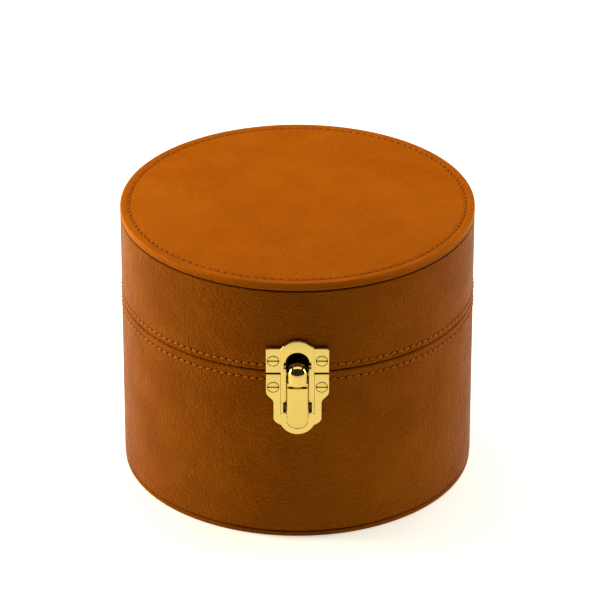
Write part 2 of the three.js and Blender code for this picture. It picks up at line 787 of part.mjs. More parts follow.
// A leaf reaches away from the split on one side of it: up (+1) for the lid, down (-1) for the base.
function hingeLeaf(way, knuckles, body) {
  const axisY = -OUTER_RADIUS - KNUCKLE_OUT;
  const spans = (low, high) => [way * low, way * high].sort((a, b) => a - b);
  const [plateLow, plateHigh] = spans(KNUCKLE_RADIUS + GAP, LEAF_HEIGHT);
  const [neckLow, neckHigh] = spans(0, KNUCKLE_RADIUS + GAP + 1);
  const plate = outward(
    rectangleShape(-HINGE_HALF_WIDTH, HINGE_HALF_WIDTH, plateLow, plateHigh),
    -3,
    LEAF_FACE,
  );
  const barrels = knuckles.map(([x0, x1]) => barAlongX(KNUCKLE_RADIUS, x0, x1, axisY, BASE_HEIGHT));
  const necks = knuckles.map(([x0, x1]) =>
    outward(rectangleShape(x0, x1, neckLow, neckHigh), -3, LEAF_FACE),
  );
  const heel = across(
    [
      [KNUCKLE_OUT, heelUnderside()],
      [KNUCKLE_OUT + HEEL_REACH, heelUnderside()],
      [KNUCKLE_OUT + HEEL_REACH, heelUnderside() + HEEL_THICK],
      [KNUCKLE_OUT, heelUnderside() + HEEL_THICK],
    ],
    -HEEL_HALF_WIDTH,
    HEEL_HALF_WIDTH,
  );
  const pieces = [plate, ...barrels, ...necks, ...(way > 0 ? [heel] : [])].map(solid);
  const pinHole = barAlongX(hingeHole, -HINGE_HALF_WIDTH - 1, HINGE_HALF_WIDTH + 1, axisY, BASE_HEIGHT);
  const bored = joined(pieces).subtract(wallCutter).subtract(solid(pinHole));
  const atBack = solid(toBack(geometryOf(bored)));
  return geometryOf(without(atBack, holesOn(body, 1)));
}

// The heel turns down onto the base's leaf, and stops a gap short of it when the lid is fully open.
function heelUnderside() {
  const leafBehindAxis = KNUCKLE_OUT - LEAF_FACE - GAP;
  return (-leafBehindAxis - HEEL_REACH * Math.cos(OPEN_ANGLE)) / Math.sin(OPEN_ANGLE);
}

const lidKnuckles = [[-LID_KNUCKLE_HALF, LID_KNUCKLE_HALF]];
const baseKnuckles = [
  [-HINGE_HALF_WIDTH, -LID_KNUCKLE_HALF - GAP],
  [LID_KNUCKLE_HALF + GAP, HINGE_HALF_WIDTH],
];

function hingePin() {
  const half = HINGE_HALF_WIDTH + 0.4;
  return barAlongX(HINGE_PIN_RADIUS, -half, half, OUTER_RADIUS + KNUCKLE_OUT, BASE_HEIGHT, 12);
}

// ---------------------------------------------------------------- the tray

function trayShell() {
  return turned([
    [0, trayFoot],
    [trayOutside, trayFoot],
    [trayOutside, trayRim],
    [trayInside, trayRim],
    [trayInside, trayFloor],
    [0, trayFloor],
  ]);
}

// Half the room for something straight whose far edge is this far from the tray's middle.
function halfChord(distance) {
  const facetFit = trayFit * Math.cos(Math.PI / FACETS);
  return Math.sqrt(facetFit ** 2 - distance ** 2);
}

const dividerTop = trayRim - DIVIDER_DROP;
const dividerBack = DIVIDER_Y + DIVIDER;
const rollStart = DIVIDER_Y - GAP; // the rolls lie side by side from here to the front
const rollPitch = (rollStart + halfChord(0) - FRONT_ROOM + ROLL_GAP) / ROLL_COUNT;
const rollRadius = (rollPitch - ROLL_GAP) / 2;

function longDivider() {
  const half = halfChord(dividerBack);
  return box(-half, half, DIVIDER_Y, dividerBack, trayDeck, dividerTop);
}

function crossDivider() {
  const end = halfChord(DIVIDER / 2);
  return box(-DIVIDER / 2, DIVIDER / 2, dividerBack + GAP, end, trayDeck, dividerTop);
}

function ringRoll(index) {
  const y = rollStart - rollRadius - index * rollPitch;
  const half = halfChord(Math.abs(y) + rollRadius);
  return { geometry: barAlongX(rollRadius, -half, half, 0, 0), at: [0, y, trayDeck + rollRadius] };
}

// A pad that fills a back compartment: two straight sides and an arc.
function compartmentPad() {
  const x = DIVIDER / 2 + GAP;
  const y = dividerBack + GAP;
  const radius = halfChord(0);
  const shape = new THREE.Shape();
  shape.moveTo(x, y);
  shape.lineTo(Math.sqrt(radius ** 2 - y ** 2), y);
  shape.absarc(0, 0, radius, Math.asin(y / radius), Math.acos(x / radius), false);
  return new THREE.ExtrudeGeometry(shape, { depth: PAD, bevelEnabled: false, curveSegments: 6 })
    .translate(0, 0, trayDeck);
}

// A leather tab that stands inside the tray's wall, for lifting it out.
function pullTab() {
  const shape = archShape(TAB_WIDTH / 2, 0, TAB_HEIGHT);
  return new THREE.ExtrudeGeometry(shape, { depth: TAB_THICK, bevelEnabled: false, curveSegments: 6 })
    .rotateX(Math.PI / 2)
    .rotateZ(Math.PI / 2);
}

// ---------------------------------------------------------------- finishes

function finish(color, roughness, metalness = 0) {
  return () => new THREE.MeshStandardMaterial({ color, roughness, metalness });
}

const tanLeather = finish(0xa4570f, 0.42);
const board = finish(0xb79b72, 0.8);
const suede = finish(0xd9c6a5, 0.95);
const foam = finish(0xe8e2cf, 0.95);
const brass = finish(0xe3c065, 0.14, 1);
const glass = finish(0xdfe6e8, 0.03, 1);

// ---------------------------------------------------------------- assembly

function mesh(name, geometry, material, at = [0, 0, 0]) {
  const made = new THREE.Mesh(geometry, material());
  made.name = name;
  made.position.set(...at);
  return made;
}

function screwMesh(screw) {
  const out = OUTER_RADIUS + screw.face - HEAD_HEIGHT;
  const made = mesh(screw.name, screwGeometry(), brass, [
    screw.x,
    screw.side * out,
    BASE_HEIGHT + screw.up,
  ]);
  made.rotation.z = screw.side > 0 ? Math.PI : 0;
  return made;
}

function screwsOn(body) {
  return screws.filter((screw) => screw.on === body).map(screwMesh);
}

function group(...meshes) {
  return new THREE.Group().add(...meshes);
}

const base = group(
  mesh("bottom_disc", bottomDisc(), tanLeather),
  mesh("base_shell", baseShell(), board),
  mesh("base_floor", baseFloor(), board),
  mesh("base_leather", baseLeather(), tanLeather),
  mesh("neck_ring", neckRing(), suede),
  mesh("well_ring", wellRing(), suede),
  mesh("well_floor_pad", floorPad(), suede),
  mesh("clasp_base_plate", claspBasePlate(), brass),
  mesh("clasp_catch_spring", catchSpring(), brass),
  mesh("hinge_leaf_base", hingeLeaf(-1, baseKnuckles, "base"), brass),
  mesh("hinge_pin", hingePin(), brass),
  ...screwsOn("base"),
);

const lid = group(
  mesh("lid_shell", lidShell(), board),
  mesh("lid_ceiling", lidCeiling(), board),
  mesh("lid_leather", lidLeather(), tanLeather),
  mesh("lid_top_board", topBoard(), board),
  mesh("lid_top_foam", topFoam(), foam),
  mesh("lid_top_leather", topLeather(), tanLeather),
  mesh("lid_lining", lidLining(), suede),
  mesh("lid_headliner", headliner(), suede),
  mesh("lid_mirror", mirrorGlass(), glass),
  mesh("lid_mirror_frame", mirrorFrame(), brass),
  mesh("clasp_lid_plate", claspLidPlate(), brass),
  mesh("clasp_pivot_pin", claspPivotPin(), brass),
  mesh("hinge_leaf_lid", hingeLeaf(1, lidKnuckles, "lid"), brass),
  ...screwsOn("lid"),
);

const lever = group(mesh("clasp_lever", claspLever(), brass));

const rolls = Array.from({ length: ROLL_COUNT }, (_, index) => {
  const { geometry, at } = ringRoll(index);
  return mesh("ring_roll_" + (index + 1), geometry, suede, at);
});
const leftPad = compartmentPad().rotateY(Math.PI);
leftPad.translate(0, 0, 2 * trayDeck + PAD);
const tabY = DIVIDER_Y - GAP - TAB_WIDTH / 2;
const tabOut = halfChord(TAB_WIDTH / 2 + Math.abs(tabY)) - TAB_THICK;
const tabFoot = trayRim + TAB_STANDS - TAB_HEIGHT;
const tabs = [-1, 1].map((side) => {
  const tab = mesh("tray_tab_" + (side < 0 ? "left" : "right"), pullTab(), tanLeather);
  tab.position.set(side * tabOut, tabY, tabFoot);
  tab.rotation.z = side < 0 ? Math.PI : 0;
  return tab;
});

const tray = group(
  mesh("tray_shell", trayShell(), suede),
  mesh("tray_divider_long", longDivider(), suede),
  mesh("tray_divider_cross", crossDivider(), suede),
  ...rolls,
  mesh("tray_pad_left", leftPad, suede),
  mesh("tray_pad_right", compartmentPad(), suede),
  ...tabs,
);

export default group(base, lid, lever, tray);
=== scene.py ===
"""Looks of the round leather jewellery case: leather, stitching, brass, lining, camera and light.

Lengths are metres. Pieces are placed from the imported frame, in its own axes: +Z up, the clasp at -Y.
"""

import math
import random

import bmesh
import bpy
import numpy as np
from mathutils import Matrix, Vector


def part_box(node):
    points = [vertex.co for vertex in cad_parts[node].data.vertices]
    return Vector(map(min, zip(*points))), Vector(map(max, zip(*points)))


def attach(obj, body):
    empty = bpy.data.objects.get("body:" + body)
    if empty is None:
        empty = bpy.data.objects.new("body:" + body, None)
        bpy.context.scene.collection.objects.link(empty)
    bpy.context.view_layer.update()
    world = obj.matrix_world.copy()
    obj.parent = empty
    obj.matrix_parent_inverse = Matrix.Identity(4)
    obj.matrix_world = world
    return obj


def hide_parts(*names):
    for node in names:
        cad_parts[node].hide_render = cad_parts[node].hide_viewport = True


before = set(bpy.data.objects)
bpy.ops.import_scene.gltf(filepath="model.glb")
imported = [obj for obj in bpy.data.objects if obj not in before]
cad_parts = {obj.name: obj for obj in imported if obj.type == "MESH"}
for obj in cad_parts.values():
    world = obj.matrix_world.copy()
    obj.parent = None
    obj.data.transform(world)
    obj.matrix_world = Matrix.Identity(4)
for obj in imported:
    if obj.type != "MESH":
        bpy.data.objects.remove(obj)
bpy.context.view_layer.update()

MM = 0.001
TURN = 2 * math.pi


# ---------------------------------------------------------------- places, from the frame


def low(node):
    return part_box(node)[0]


def high(node):
    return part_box(node)[1]


RADIUS = high("base_leather").x
BASE_RIM = high("base_leather").z
LID_RIM = low("lid_leather").z
SPLIT = (BASE_RIM + LID_RIM) / 2
LID_TOP = high("lid_leather").z
DISC_FOOT = low("lid_top_leather").z
CROWN = high("lid_top_leather").z
LEATHER = 1.2 * MM
FRONT = -RADIUS  # the leather's surface behind the clasp

FACE_FRONT = Matrix.Rotation(math.pi / 2, 4, "X")  # what pointed up points out of the front
LIE_ALONG_X = Matrix.Rotation(math.pi / 2, 4, "Y")
TO_BACK = Matrix.Rotation(math.pi, 4, "Z")

STITCH_PITCH = 3.6 * MM
BASE_ROW = 3.9 * MM  # below the base's rim
LID_ROW = 2.6 * MM  # above the lid's rim
TOP_ROW = 4.1 * MM  # inside the top disc's edge
STITCH_LENGTH = 0.76 * STITCH_PITCH
STITCH_THICKNESS = 0.86 * MM
STITCH_SLANT = 0.22 * MM
STITCH_RINGS = 9
RING_POINTS = 8
WALL_STITCHES = round(TURN * RADIUS / STITCH_PITCH)
TOP_STITCHES = round(TURN * (RADIUS - TOP_ROW) / STITCH_PITCH)


# ---------------------------------------------------------------- node materials


class Nodes:
    """A material's node tree, with one short call per kind of node."""

    def __init__(self, name):
        self.material = bpy.data.materials.new(name)
        self.material.use_nodes = True
        self.tree = self.material.node_tree
        self.shader = self.tree.nodes["Principled BSDF"]
        self.place = self.add("ShaderNodeTexCoord").outputs["Object"]

    def add(self, kind, **settings):
        node = self.tree.nodes.new(kind)
        for key, value in settings.items():
            setattr(node, key, value)
        return node

    def feed(self, socket, value):
        if isinstance(value, bpy.types.NodeSocket):
            self.tree.links.new(value, socket)
        else:
            socket.default_value = value

    def math(self, operation, a, b=0.0):
        node = self.add("ShaderNodeMath", operation=operation)
        self.feed(node.inputs[0], a)
        self.feed(node.inputs[1], b)
        return node.outputs[0]

    def stretched(self, scale):
        node = self.add("ShaderNodeMapping")
        self.feed(node.inputs["Vector"], self.place)
        node.inputs["Scale"].default_value = scale
        return node.outputs["Vector"]

    def noise(self, scale, detail=4.0, roughness=0.55, vector=None, distortion=0.0):
        node = self.add("ShaderNodeTexNoise")
        self.feed(node.inputs["Vector"], vector or self.place)
        node.inputs["Scale"].default_value = scale
        node.inputs["Detail"].default_value = detail
        node.inputs["Roughness"].default_value = roughness
        node.inputs["Distortion"].default_value = distortion
        return node.outputs["Fac"]

    def cells(self, scale, feature="F1", randomness=1.0):
        node = self.add("ShaderNodeTexVoronoi", feature=feature)
        self.feed(node.inputs["Vector"], self.place)
        node.inputs["Scale"].default_value = scale
        node.inputs["Randomness"].default_value = randomness
        return node.outputs["Distance"]

    def range(self, value, from_low, from_high, to_low=0.0, to_high=1.0, smooth=False):
        node = self.add("ShaderNodeMapRange")
        if smooth:
            node.interpolation_type = "SMOOTHSTEP"
        inputs = (value, from_low, from_high, to_low, to_high)
        for socket, given in zip(node.inputs, inputs):
            self.feed(socket, given)
        return node.outputs["Result"]

    def mix(self, factor, a, b):
        node = self.add("ShaderNodeMix", data_type="RGBA")
        self.feed(node.inputs["Factor"], factor)
        self.feed(node.inputs["A"], a)
        self.feed(node.inputs["B"], b)
        return node.outputs["Result"]

    def bump(self, height, distance, strength=1.0, under=None):
        node = self.add("ShaderNodeBump")
        node.inputs["Strength"].default_value = strength
        node.inputs["Distance"].default_value = distance
        self.feed(node.inputs["Height"], height)
        if under is not None:
            self.feed(node.inputs["Normal"], under)
        return node.outputs["Normal"]

    def axes(self):
        node = self.add("ShaderNodeSeparateXYZ")
        self.feed(node.inputs[0], self.place)
        return node.outputs

    def finish(self, colour, roughness, normal=None, **fixed):
        self.feed(self.shader.inputs["Base Color"], colour)
        self.feed(self.shader.inputs["Roughness"], roughness)
        if normal is not None:
            self.feed(self.shader.inputs["Normal"], normal)
        for name, value in fixed.items():
            self.shader.inputs[name.replace("_", " ")].default_value = value
        return self.material


def rgb(r, g, b):
    return (r, g, b, 1.0)


# tones painted into the needle holes: painted shade, the shade inside each hole
HOLE_SHADES = {"wall": rgb(0.015, 0.004, 0.001), "top": rgb(0.09, 0.018, 0.001)}


def leather(name, body, deep, light, pebble=820, relief=1.0, holes=(), edge=None, join=False):
    """Full-grain leather: pebbled cells, fine creases, pores, mottled dye and a waxed, uneven gloss.

    holes lists rows of needle holes, each darkened with painted shade: ("wall" or "top", height or radius,
    holes in the row).
    edge is the walls' darker tone, painted shade, given to the upright edge of the top disc; join draws the
    butted ends of a wall's leather, upright in the middle of the back."""
    n = Nodes(name)
    mottling = n.noise(48, 5, 0.6)
    patches = n.noise(11, 3, 0.5, distortion=0.3)
    creases = n.noise(330, 6, 0.62, n.stretched((1.0, 1.0, 0.6)), 0.9)
    warped = n.noise(240, 2, 0.5)
    grain = n.cells(pebble, "SMOOTH_F1", randomness=0.95)
    borders = n.cells(pebble * 0.62, "DISTANCE_TO_EDGE")
    wrinkles = n.cells(pebble * 0.21, "DISTANCE_TO_EDGE")
    pores = n.cells(2300)
    fine = n.noise(3800, 3, 0.7)

    # the upright side of the top disc takes the walls' darker tone: painted shade
    if edge:
        body = n.mix(n.range(n.axes()[2], DISC_FOOT + 1.8 * MM, DISC_FOOT + 3.5 * MM), edge, body)
    colour = n.mix(n.range(mottling, 0.30, 0.70, 0.0, 0.55, True), body, deep)
    colour = n.mix(n.range(patches, 0.42, 0.72, 0.0, 0.35, True), colour, light)
    # the creases between pebbles and the pores are darkened: painted shade
    in_crease = n.range(borders, 0.0, 0.12, 0.3, 0.0)
    colour = n.mix(in_crease, colour, deep)
    in_pore = n.range(pores, 0.08, 0.2, 0.5, 0.0)
    colour = n.mix(in_pore, colour, deep)

    edge_of_cell = n.range(borders, 0.0, 0.18, 0.0, 1.0, True)
    height = n.math("ADD", n.math("MULTIPLY", grain, -0.4), n.math("MULTIPLY", edge_of_cell, 0.4))
    height = n.math("ADD", height, n.math("MULTIPLY", creases, 0.9))
    folds = n.math("MULTIPLY", n.range(wrinkles, 0.0, 0.10, 0.0, 0.5, True), warped)
    height = n.math("ADD", height, folds)
    height = n.math("ADD", height, n.math("MULTIPLY", fine, 0.08))
    normal = n.bump(height, 0.00042 * relief)
    normal = n.bump(n.noise(70, 3, 0.5), 0.0007 * relief, 0.6, normal)
    # darken each needle hole with painted shade
    for kind, where, count in holes:
        colour = n.mix(needle_holes(n, kind, where, count), colour, HOLE_SHADES[kind])
    if join:
        x, y, _ = n.axes()
        gap = n.range(n.math("ABSOLUTE", x), 0.08 * MM, 0.5 * MM, 1.0, 0.0, True)
        gap = n.math("MULTIPLY", gap, n.math("GREATER_THAN", y, 0.0))
        colour = n.mix(n.math("MULTIPLY", gap, 0.85), colour, rgb(0.03, 0.008, 0.001))
        normal = n.bump(n.math("MULTIPLY", gap, -1.0), 0.0004, 1.0, normal)
    waxed = n.range(mottling, 0.3, 0.7, 0.32, 0.42)
    roughness = n.math("ADD", waxed, n.math("MULTIPLY", in_crease, 0.25))
    return n.finish(colour, roughness, normal, IOR=1.07, Specular_Tint=rgb(1.0, 0.62, 0.25))


def needle_holes(n, kind, where, count):
    """1 in the needle holes of a row that runs round the case, else 0."""
    x, y, z = n.axes()
    turn = n.math("MULTIPLY", n.math("ARCTAN2", x, n.math("MULTIPLY", y, -1.0)), count / TURN)
    from_hole = n.math("ABSOLUTE", n.math("SUBTRACT", n.math("FRACT", n.math("ADD", turn, 0.5)), 0.5))
    along = n.math("MULTIPLY", from_hole, STITCH_PITCH)
    flat = n.math("SQRT", n.math("ADD", n.math("MULTIPLY", x, x), n.math("MULTIPLY", y, y)))
    off_row = n.math("SUBTRACT", z if kind == "wall" else flat, where)
    squared = n.math("ADD", n.math("MULTIPLY", along, along), n.math("MULTIPLY", off_row, off_row))
    return n.range(n.math("SQRT", squared), 0.30 * MM, 0.62 * MM, 1.0, 0.0, True)


def brass(name, colour=rgb(0.63, 0.460, 0.132), polish=0.085):
    """Polished brass: a soft lacquered gloss with hairline scratches and faint clouding."""
    n = Nodes(name)
    hairlines = n.noise(900, 2, 0.6, n.stretched((0.18, 1.0, 2.6)))
    clouds = n.noise(160, 4, 0.6)
    pits = n.range(n.cells(1500), 0.02, 0.07, 1.0, 0.0)
    r, g, b, _ = colour
    toned = n.mix(n.range(clouds, 0.35, 0.75, 0.0, 0.35), colour, rgb(0.88 * r, 0.88 * g, 0.88 * b))
    toned = n.mix(n.math("MULTIPLY", pits, 0.25), toned, rgb(0.5 * r, 0.5 * g, 0.5 * b))
    scratched = n.range(hairlines, 0.45, 0.8, 0.0, 0.10)
    roughness = n.math("ADD", scratched, n.range(clouds, 0.3, 0.8, polish, polish + 0.05))
    normal = n.bump(hairlines, 0.000006, 0.6)
    return n.finish(toned, roughness, normal, Metallic=1.0)


def suede(name):
    """Lining cloth with a short brushed nap: cloudy brush marks, fibres and a soft sheen."""
    n = Nodes(name)
    marks = n.noise(26, 4, 0.55, distortion=0.9)
    nap = n.noise(2600, 4, 0.75)
    fibres = n.noise(1500, 3, 0.6, n.stretched((1.0, 0.35, 1.0)))
    brushed = n.range(marks, 0.35, 0.68, smooth=True)
    colour = n.mix(brushed, rgb(0.68, 0.55, 0.40), rgb(0.80, 0.69, 0.55))
    colour = n.mix(n.range(nap, 0.3, 0.7, 0.0, 0.35), colour, rgb(0.46, 0.36, 0.25))
    height = n.math("ADD", n.math("MULTIPLY", nap, 0.7), n.math("MULTIPLY", fibres, 0.5))
    return n.finish(
        colour,
        n.range(nap, 0.2, 0.8, 0.82, 0.98),
        n.bump(height, 0.00016),
        Specular_IOR_Level=0.18,
        Sheen_Weight=0.45,
        Sheen_Roughness=0.45,
    )


def bentwood(name):
    """Raw bentwood and board: long grain, darker late wood and open pores."""
    n = Nodes(name)
    grain = n.noise(55, 6, 0.6, n.stretched((1.0, 1.0, 9.0)), 0.6)
    pores = n.noise(900, 3, 0.6, n.stretched((0.25, 0.25, 5.0)))
    colour = n.mix(n.range(grain, 0.35, 0.65), rgb(0.50, 0.35, 0.20), rgb(0.34, 0.21, 0.11))
    colour = n.mix(n.range(pores, 0.62, 0.75, 0.0, 0.6), colour, rgb(0.17, 0.10, 0.05))
    return n.finish(colour, n.range(grain, 0.3, 0.7, 0.6, 0.8), n.bump(pores, 0.0001))


def wadding(name):
    """Cotton wadding under the top leather."""
    n = Nodes(name)
    tufts = n.noise(420, 5, 0.7)
    colour = n.mix(n.range(tufts, 0.3, 0.7), rgb(0.80, 0.77, 0.68), rgb(0.92, 0.90, 0.84))
    return n.finish(colour, n.range(tufts, 0.3, 0.7, 0.88, 1.0), n.bump(tufts, 0.0004))


def silvering(name):
    """A plain mirror with the faintest haze and dust."""
    n = Nodes(name)
    haze = n.noise(40, 4, 0.6)
    dust = n.range(n.cells(700), 0.01, 0.04, 1.0, 0.0)
    colour = n.mix(n.math("MULTIPLY", dust, 0.25), rgb(0.90, 0.92, 0.92), rgb(0.62, 0.62, 0.60))
    roughness = n.math("ADD", n.range(haze, 0.4, 0.8, 0.012, 0.035), n.math("MULTIPLY", dust, 0.2))
    return n.finish(colour, roughness, n.bump(haze, 0.000004), Metallic=1.0)


def waxed_thread(name):
    """Twisted waxed thread, a shade redder and brighter than the leather."""
    n = Nodes(name)
    strands = n.noise(2400, 3, 0.6, n.stretched((1.0, 1.0, 0.4)))
    colour = n.mix(n.range(strands, 0.3, 0.7), rgb(0.50, 0.130, 0.008), rgb(0.30, 0.058, 0.003))
    return n.finish(colour, n.range(strands, 0.3, 0.7, 0.5, 0.7), n.bump(strands, 0.00008), IOR=1.2)


WALL_HOLES = [
    ("wall", BASE_RIM - BASE_ROW, WALL_STITCHES),
    ("wall", LID_RIM + LID_ROW, WALL_STITCHES),
]
TOP_HOLES = [("top", RADIUS - TOP_ROW, TOP_STITCHES)]
# one leather in two copies: the top's tones are a lit copy, brighter than the walls', painted light; the
# walls' tones are a shaded copy, painted shade
SHADED_WALL_TAN = (rgb(0.226, 0.057, 0.0010), rgb(0.148, 0.033, 0.0006), rgb(0.300, 0.090, 0.002))
LIT_TOP_TAN = (rgb(0.410, 0.096, 0.0020), rgb(0.310, 0.066, 0.0012), rgb(0.500, 0.135, 0.006))
LIT_TOP_LEATHER = leather("top_leather", *LIT_TOP_TAN, 1150, 0.6, TOP_HOLES, SHADED_WALL_TAN[0])
SHADED_WALL_LEATHER = leather("wall_leather", *SHADED_WALL_TAN, 820, 1.0, WALL_HOLES, join=True)
BASE_LEATHER = leather("underside_leather", *SHADED_WALL_TAN)
THREAD = waxed_thread("waxed_thread")
BRASS = brass("polished_brass")
BRONZE = brass("dark_spring_bronze", rgb(0.060, 0.038, 0.012), 0.22)
SUEDE = suede("suede_lining")
WOOD = bentwood("bentwood")
WADDING = wadding("cotton_wadding")
MIRROR = silvering("mirror_silvering")


# ---------------------------------------------------------------- shapes


def placed(name, data):
    """A new object in the scene."""
    made = bpy.data.objects.new(name, data)
    bpy.context.scene.collection.objects.link(made)
    return made


def piece(name, mesh, material, body, replaces=(), sharp=35):
    """A finished mesh as an object that rides on a body and shows one material."""
    for face in mesh.polygons:
        face.use_smooth = True
    mesh.set_sharp_from_angle(angle=math.radians(sharp))
    mesh.materials.clear()
    mesh.materials.append(material)
    made = placed(name, mesh)
    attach(made, body)
    if replaces:
        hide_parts(*replaces)
    return made


def mesh_of(vertices, faces, name="mesh"):
    mesh = bpy.data.meshes.new(name)
    mesh.from_pydata([tuple(v) for v in vertices], [], faces)
    mesh.validate()
    cleaned = bmesh.new()
    cleaned.from_mesh(mesh)
    bmesh.ops.remove_doubles(cleaned, verts=cleaned.verts, dist=1e-7)
    bmesh.ops.recalc_face_normals(cleaned, faces=cleaned.faces)
    cleaned.to_mesh(mesh)
    cleaned.free()
    return mesh


def applied(made):
    """The object's mesh with its modifiers applied. The object is removed."""
    depsgraph = bpy.context.evaluated_depsgraph_get()
    mesh = bpy.data.meshes.new_from_object(made.evaluated_get(depsgraph))
    bpy.data.objects.remove(made)
    return mesh


def rounded(corners, steps=6):
    """A closed profile of corners (across, up, radius), with each corner rounded to its radius."""
    points = []
    count = len(corners)
    for i, (x, y, radius) in enumerate(corners):
        here = Vector((x, y))
        before = Vector(corners[i - 1][:2]) - here
        after = Vector(corners[(i + 1) % count][:2]) - here
        reach = min(radius, before.length * 0.49, after.length * 0.49)
        if radius <= 0 or reach < 1e-7:
            points.append(here)
            continue
        start = here + before.normalized() * reach
        end = here + after.normalized() * reach
        for k in range(steps + 1):
            t = k / steps
            points.append(start * (1 - t) ** 2 + here * (2 * t * (1 - t)) + end * t**2)
    return points


def revolved(profile, steps=224, name="turned"):
    """A closed profile of (radius, height) points turned about Z. A point on the axis is one vertex."""
    vertices = []
    rings = []
    for r, z in profile:
        if r < 1e-7:
            rings.append([len(vertices)] * steps)
            vertices.append((0, 0, z))
            continue
        rings.append(list(range(len(vertices), len(vertices) + steps)))
        for k in range(steps):
            turn = TURN * k / steps
            vertices.append((r * math.sin(turn), -r * math.cos(turn), z))
    faces = []
    for i, ring in enumerate(rings):
        other = rings[(i + 1) % len(rings)]
        for k in range(steps):
            after = (k + 1) % steps
            corners = dict.fromkeys((ring[k], ring[after], other[after], other[k]))
            if len(corners) > 2:
                faces.append(tuple(corners))
    return mesh_of(vertices, faces, name)


def plate(outline, near, far, bevel, segments=3):
    """A flat plate with rounded edges, from an outline in X and height above the split.

    It stands in front of the wall, between two distances out from the leather."""
    curve = bpy.data.curves.new("outline", "CURVE")
    curve.dimensions = "2D"
    curve.fill_mode = "BOTH"
    curve.extrude = (far - near) / 2 - bevel
    curve.bevel_depth = bevel
    curve.bevel_resolution = segments
    curve.offset = -bevel
    spline = curve.splines.new("POLY")
    spline.points.add(len(outline) - 1)
    for point, (x, z) in zip(spline.points, outline):
        point.co = (x, z, 0, 1)
    spline.use_cyclic_u = True
    made = placed("outline", curve)
    bpy.context.view_layer.update()
    mesh = applied(made)
    bpy.data.curves.remove(curve)
    mesh.transform(FACE_FRONT)
    mesh.transform(Matrix.Translation((0, FRONT - (near + far) / 2, SPLIT)))
    return mesh


def arc(x, z, radius, start, end, steps=24):
    """Points on an arc, from one angle to another, in degrees."""
    turns = np.radians(np.linspace(start, end, steps + 1))
    return [(x + radius * math.cos(t), z + radius * math.sin(t)) for t in turns]


def boolean(mesh, cutter, operation="DIFFERENCE"):
    """mesh cut by, or joined to, another mesh."""
    target = placed("target", mesh)
    tool = placed("tool", cutter)
    modifier = target.modifiers.new("cut", "BOOLEAN")
    modifier.operation = operation
    modifier.solver = "EXACT"
    modifier.object = tool
    bpy.context.view_layer.update()
    result = applied(target)
    bpy.data.objects.remove(tool)
    return result


def tube_faces(rings, count):
    """Faces of a closed tube: the sides, ring by ring, then both ends."""
    faces = []
    for i in range(rings - 1):
        for k in range(count):
            after = (k + 1) % count
            faces.append((i * count + k, i * count + after, (i + 1) * count + after, (i + 1) * count + k))
    last = (rings - 1) * count
    return faces + [tuple(range(count)), tuple(reversed(range(last, last + count)))]


def lofted(rings, name):
    """A closed skin over rings of points, all with the same number of points."""
    points = [point for ring in rings for point in ring]
    return mesh_of(points, tube_faces(len(rings), len(rings[0])), name)


def block(x0, x1, y0, y1, z0, z1):
    corners = [(x, y, z) for x in (x0, x1) for y in (y0, y1) for z in (z0, z1)]
    faces = [(0, 1, 3, 2), (4, 6, 7, 5), (0, 4, 5, 1), (2, 3, 7, 6), (0, 2, 6, 4), (1, 5, 7, 3)]
    return mesh_of(corners, faces, "block")


# ---------------------------------------------------------------- leather shells

PULL = 0.22 * MM  # how far a row of stitches draws the leather in
RIM = 1.3 * MM  # rounding of a turned edge
PROUD = 0.05 * MM  # how far turned edges and the top disc stand out of the wall
UNDER_SKIN = 0.3 * MM  # gap between a skin and the piece inside it


def pulled_row(radius, row, way):
    """Wall points across a row of stitches: the thread draws a shallow furrow in the leather."""
    half = [(0.35, 0.85), (0.9, 0.25), (1.6, 0.0)]
    offsets = [(-along, depth) for along, depth in reversed(half)] + [(0.0, 1.0)] + half
    return [(radius - PULL * depth, row + way * along * MM, 0.0) for along, depth in offsets]


def base_wall():
    foot = low("base_leather").z
    inside = high("base_shell").x + UNDER_SKIN
    neck_gap = high("neck_ring").x + UNDER_SKIN
    corners = [
        (inside, foot, 0),
        (RADIUS, foot, 0.9 * MM),
        *pulled_row(RADIUS, BASE_RIM - BASE_ROW, 1),
        (RADIUS + PROUD, BASE_RIM, RIM),
        (neck_gap, BASE_RIM, 0.3 * MM),
        (neck_gap, BASE_RIM - LEATHER, 0),
        (inside, BASE_RIM - LEATHER, 0),
    ]
    mesh = revolved(rounded(corners), name="base_wall")
    piece("base_wall", mesh, SHADED_WALL_LEATHER, "base", ["base_leather"])


def lid_wall():
    inside = high("lid_shell").x + UNDER_SKIN
    lining_gap = high("lid_lining").x + UNDER_SKIN
    corners = [
        (lining_gap, LID_RIM, 0.3 * MM),
        (RADIUS + PROUD, LID_RIM, RIM),
        *pulled_row(RADIUS, LID_RIM + LID_ROW, 1),
        (RADIUS, LID_TOP, 0.8 * MM),
        (inside, LID_TOP, 0),
        (inside, LID_RIM + LEATHER, 0),
        (lining_gap, LID_RIM + LEATHER, 0),
    ]
    wrap = revolved(rounded(corners), name="lid_wall")
    notch = block(-6 * MM, 6 * MM, FRONT - 5 * MM, FRONT + 3 * MM, SPLIT - 2 * MM, SPLIT + 11 * MM)
    mesh = boolean(wrap, notch)
    piece("lid_wall", mesh, SHADED_WALL_LEATHER, "lid", ["lid_leather"])


def top_height(radius):
    """Height of the padded top: a crown inside the stitches, a furrow under them, a full edge outside."""
    edge = DISC_FOOT + 3.6 * MM
    row = RADIUS - TOP_ROW
    inside = max(0.0, 1 - (radius / row) ** 2)
    crown = (CROWN - edge - 0.1 * MM) * inside**0.8 if radius < row else 0.0
    furrow = 0.42 * MM * math.exp(-(((radius - row) / (0.75 * MM)) ** 2))
    bead = 0.12 * MM * math.exp(-(((radius - row - 2 * MM) / (1.1 * MM)) ** 2))
    return edge + crown + bead - furrow - 0.05 * MM


